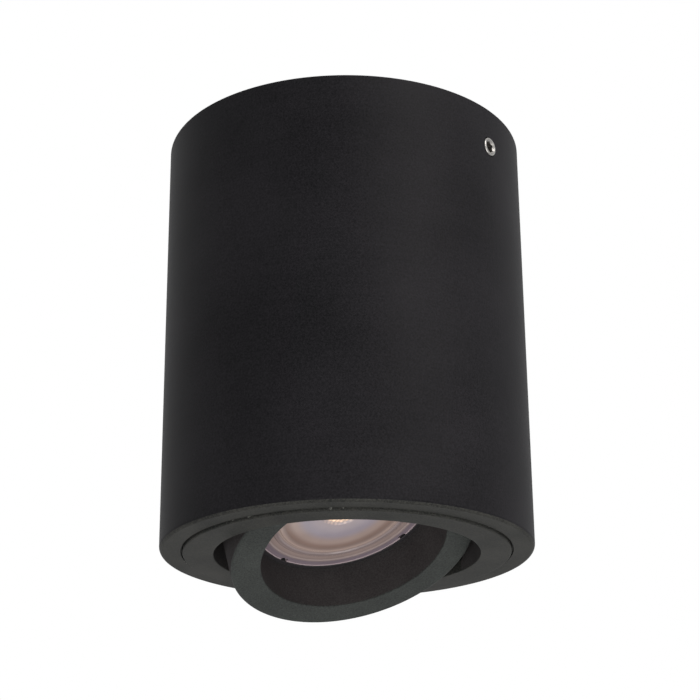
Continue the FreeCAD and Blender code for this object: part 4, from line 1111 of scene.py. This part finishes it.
@dataclass
class CarriedNodes:
    """CAD pieces that keep their own shape and get softened edges and a finish."""

    finishes: dict[str, Finish] = field(default_factory=lambda: {
        "mounting_plate": Finishes.zinc_sheet, "terminal_block": Finishes.polyamide,
        "block_screw": Finishes.zinc, "terminal_sleeves": Finishes.brass, "terminal_screws": Finishes.zinc,
        "earth_screw": Finishes.zinc, "earth_washer": Finishes.zinc, "earth_lug": Finishes.copper,
        "retaining_springs": Finishes.spring_steel, "spring_screws": Finishes.zinc,
        "pivot_screws": Finishes.black_oxide, "pivot_washers": Finishes.nylon,
        "lamp_clip": Finishes.spring_steel, "lamp_heat_sink": Finishes.aluminium,
        "lamp_led_board": Finishes.solder_mask, "lamp_led_chip": Finishes.phosphor,
        "lamp_driver": Finishes.epoxy, "lamp_base": Finishes.lamp_white, "lamp_pins": Finishes.zinc,
        "holder_body": Finishes.ceramic, "holder_cover": Finishes.ceramic, "holder_screws": Finishes.zinc,
        "holder_contacts": Finishes.copper})
    edge: float = 0.08
    crisp_degrees: float = 30.0
    flat_degrees: float = 0.5
    weld: float = 0.001

    def even_shading(self) -> Tree:
        """Make the modifier tree that shades round faces smooth and keeps corners crisp.

        Returns:
            The geometry node tree.
        """
        tree = bpy.data.node_groups.new("even_shading", "GeometryNodeTree")
        for direction in ("INPUT", "OUTPUT"):
            tree.interface.new_socket("Geometry", in_out=direction, socket_type="NodeSocketGeometry")
        mesh = add_node(tree, "NodeGroupInput").outputs[0]
        smooth = add_node(tree, "GeometryNodeSetShadeSmooth", {
            "Geometry": mesh, "Shade Smooth": True}, domain="FACE")
        angle = add_node(tree, "GeometryNodeInputMeshEdgeAngle").outputs["Unsigned Angle"]
        crisp = worked_out(tree, "GREATER_THAN", angle, math.radians(self.crisp_degrees))
        shaded = add_node(tree, "GeometryNodeSetShadeSmooth", {
            "Geometry": smooth.outputs[0], "Selection": crisp, "Shade Smooth": False}, domain="EDGE")
        add_node(tree, "NodeGroupOutput", {0: shaded.outputs[0]})
        return tree

    def soften(self, node: bpy.types.Object, shading: Tree) -> None:
        """Join a node's loose triangles, round its corners a little and shade it evenly.

        Args:
            node: The CAD node's object.
            shading: The tree from even_shading.
        """
        joined = node.modifiers.new("join_triangles", "WELD")
        joined.merge_threshold = self.weld * MM
        flat = node.modifiers.new("join_flat_faces", "DECIMATE")
        flat.decimate_type = "DISSOLVE"
        flat.angle_limit = math.radians(self.flat_degrees)
        corners = node.modifiers.new("broken_corners", "BEVEL")
        corners.width = self.edge * MM
        corners.segments = 2
        corners.limit_method = "ANGLE"
        corners.angle_limit = math.radians(self.crisp_degrees)
        group = node.modifiers.new("even_shading", "NODES")
        group.node_group = shading

    def build(self) -> None:
        """Dress every carried node."""
        shading = self.even_shading()
        for name, finish in self.finishes.items():
            node = frame["nodes"][name]
            self.soften(node, shading)
            node.data.materials.clear()
            node.data.materials.append(finish.material())
            log.info("%s keeps its shape, in %s", name, finish.name)


# -------------------- studio
@dataclass(frozen=True)
class Softbox:
    """A square soft light, in metres and watts; its place turns about Z with the camera."""

    name: str
    place: tuple[float, float, float]
    side: float
    power: float
    colour: str


@dataclass
class Studio:
    """Camera, lamps, world and floor."""

    # the camera, fitted to the photograph: degrees, and millimetres from the housing's top
    azimuth: float = 37.1
    elevation: float = -21.22
    roll: float = -0.52
    distance: float = 486.4
    target: tuple[float, float, float] = (1.21, 0.0, -56.42)
    lens: float = 93.553
    sensor: float = 36.0
    nearest: float = 0.01
    # light and backdrop, in metres
    softboxes: tuple[Softbox, ...] = (
        Softbox("key_softbox", (0.75, -0.75, 0.62), 0.7, 12.2, "#fffaf6"),
        Softbox("low_softbox", (0.1, -0.46, -0.5), 0.6, 3.4, "#fffdf8"),
    )
    lit_level: float = -0.06
    ambient: float = 0.55
    floor_level: float = -0.9
    floor_reach: float = 9.0
    floor_colour: str = "#e6e5e3"
    floor_white: float = 0.85

    def camera(self) -> None:
        """Set the camera to the photograph's view."""
        turn = Matrix.Rotation(math.radians(self.azimuth), 3, "Z")
        raised = math.radians(self.elevation)
        forward = turn @ Vector((0, math.cos(raised), -math.sin(raised)))
        right = turn @ Vector((1, 0, 0))
        up = right.cross(forward)
        lean = math.radians(self.roll)
        side = right * math.cos(lean) + up * math.sin(lean)
        top = up * math.cos(lean) - right * math.sin(lean)
        place = turn @ Vector(self.target) * MM - forward * self.distance * MM
        data = bpy.data.cameras.new("photo_camera")
        data.lens = self.lens
        data.sensor_width = self.sensor
        data.clip_start = self.nearest
        made = add_object("photo_camera", data)
        made.matrix_world = Matrix.Translation(place) @ Matrix((side, top, -forward)).transposed().to_4x4()
        bpy.context.scene.camera = made

    def hang(self, box: Softbox) -> None:
        """Hang a soft light.

        Args:
            box: The light.
        """
        data = bpy.data.lights.new(box.name, "AREA")
        data.size = box.side
        data.energy = box.power
        data.color = linear(box.colour)[:3]
        made = add_object(box.name, data)
        spot = Matrix.Rotation(math.radians(self.azimuth), 3, "Z") @ Vector(box.place)
        aim = Vector((0, 0, self.lit_level)) - spot
        made.matrix_world = Matrix.Translation(spot) @ aim.to_track_quat("-Z", "Y").to_matrix().to_4x4()

    def seen(self, tree: Tree) -> Socket:
        """Tell the rays that show the background from those that light the spotlight.

        Args:
            tree: The node tree that asks.

        Returns:
            1 for a camera, glossy or transmission ray, 0 for the rest.
        """
        path = add_node(tree, "ShaderNodeLightPath").outputs
        direct = worked_out(tree, "MAXIMUM", path["Is Camera Ray"], path["Is Glossy Ray"])
        return worked_out(tree, "MAXIMUM", direct, path["Is Transmission Ray"])

    def world(self) -> None:
        """Make the backdrop white to the eye and a plain grey as light."""
        made = bpy.data.worlds.new("studio")
        bpy.context.scene.world = made
        tree = empty_tree(made)
        dim = add_node(tree, "ShaderNodeBackground", {"Color": (1, 1, 1, 1), "Strength": self.ambient})
        white = add_node(tree, "ShaderNodeBackground", {"Color": (1, 1, 1, 1), "Strength": 1.0})
        both = add_node(tree, "ShaderNodeMixShader", {
            0: self.seen(tree), 1: dim.outputs[0], 2: white.outputs[0]})
        add_node(tree, "ShaderNodeOutputWorld", {"Surface": both.outputs[0]})

    def floor(self) -> None:
        """Lay a pale floor well below; it looks nearly white and keeps the shadow."""
        bm = bmesh.new()
        bmesh.ops.create_grid(bm, x_segments=1, y_segments=1, size=self.floor_reach,
                              matrix=Matrix.Translation((0, 0, self.floor_level)))
        made = add_object("floor", as_mesh(bm, "floor"))
        paint = bpy.data.materials.new("pale_floor_paint")
        tree = empty_tree(paint)
        matt = add_node(tree, "ShaderNodeBsdfDiffuse", {"Color": linear(self.floor_colour)})
        white = add_node(tree, "ShaderNodeEmission", {"Color": (1, 1, 1, 1), "Strength": 1.0})
        share = worked_out(tree, "MULTIPLY", self.seen(tree), self.floor_white)
        both = add_node(tree, "ShaderNodeMixShader", {0: share, 1: matt.outputs[0], 2: white.outputs[0]})
        add_node(tree, "ShaderNodeOutputMaterial", {"Surface": both.outputs[0]})
        made.data.materials.append(paint)

    def build(self) -> None:
        """Set up everything that isn't the spotlight."""
        self.camera()
        self.world()
        self.floor()
        for box in self.softboxes:
            self.hang(box)
        bpy.context.scene.view_settings.view_transform = "Standard"


def main() -> None:
    """Build the spotlight and its studio."""
    logging.basicConfig(level=logging.INFO, format="%(message)s")
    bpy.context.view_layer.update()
    for part in (Studio, Housing, Grommet, FrontRing, LampRing, Lamp, Leads, CarriedNodes):
        part().build()


if __name__ == "__main__":
    main()
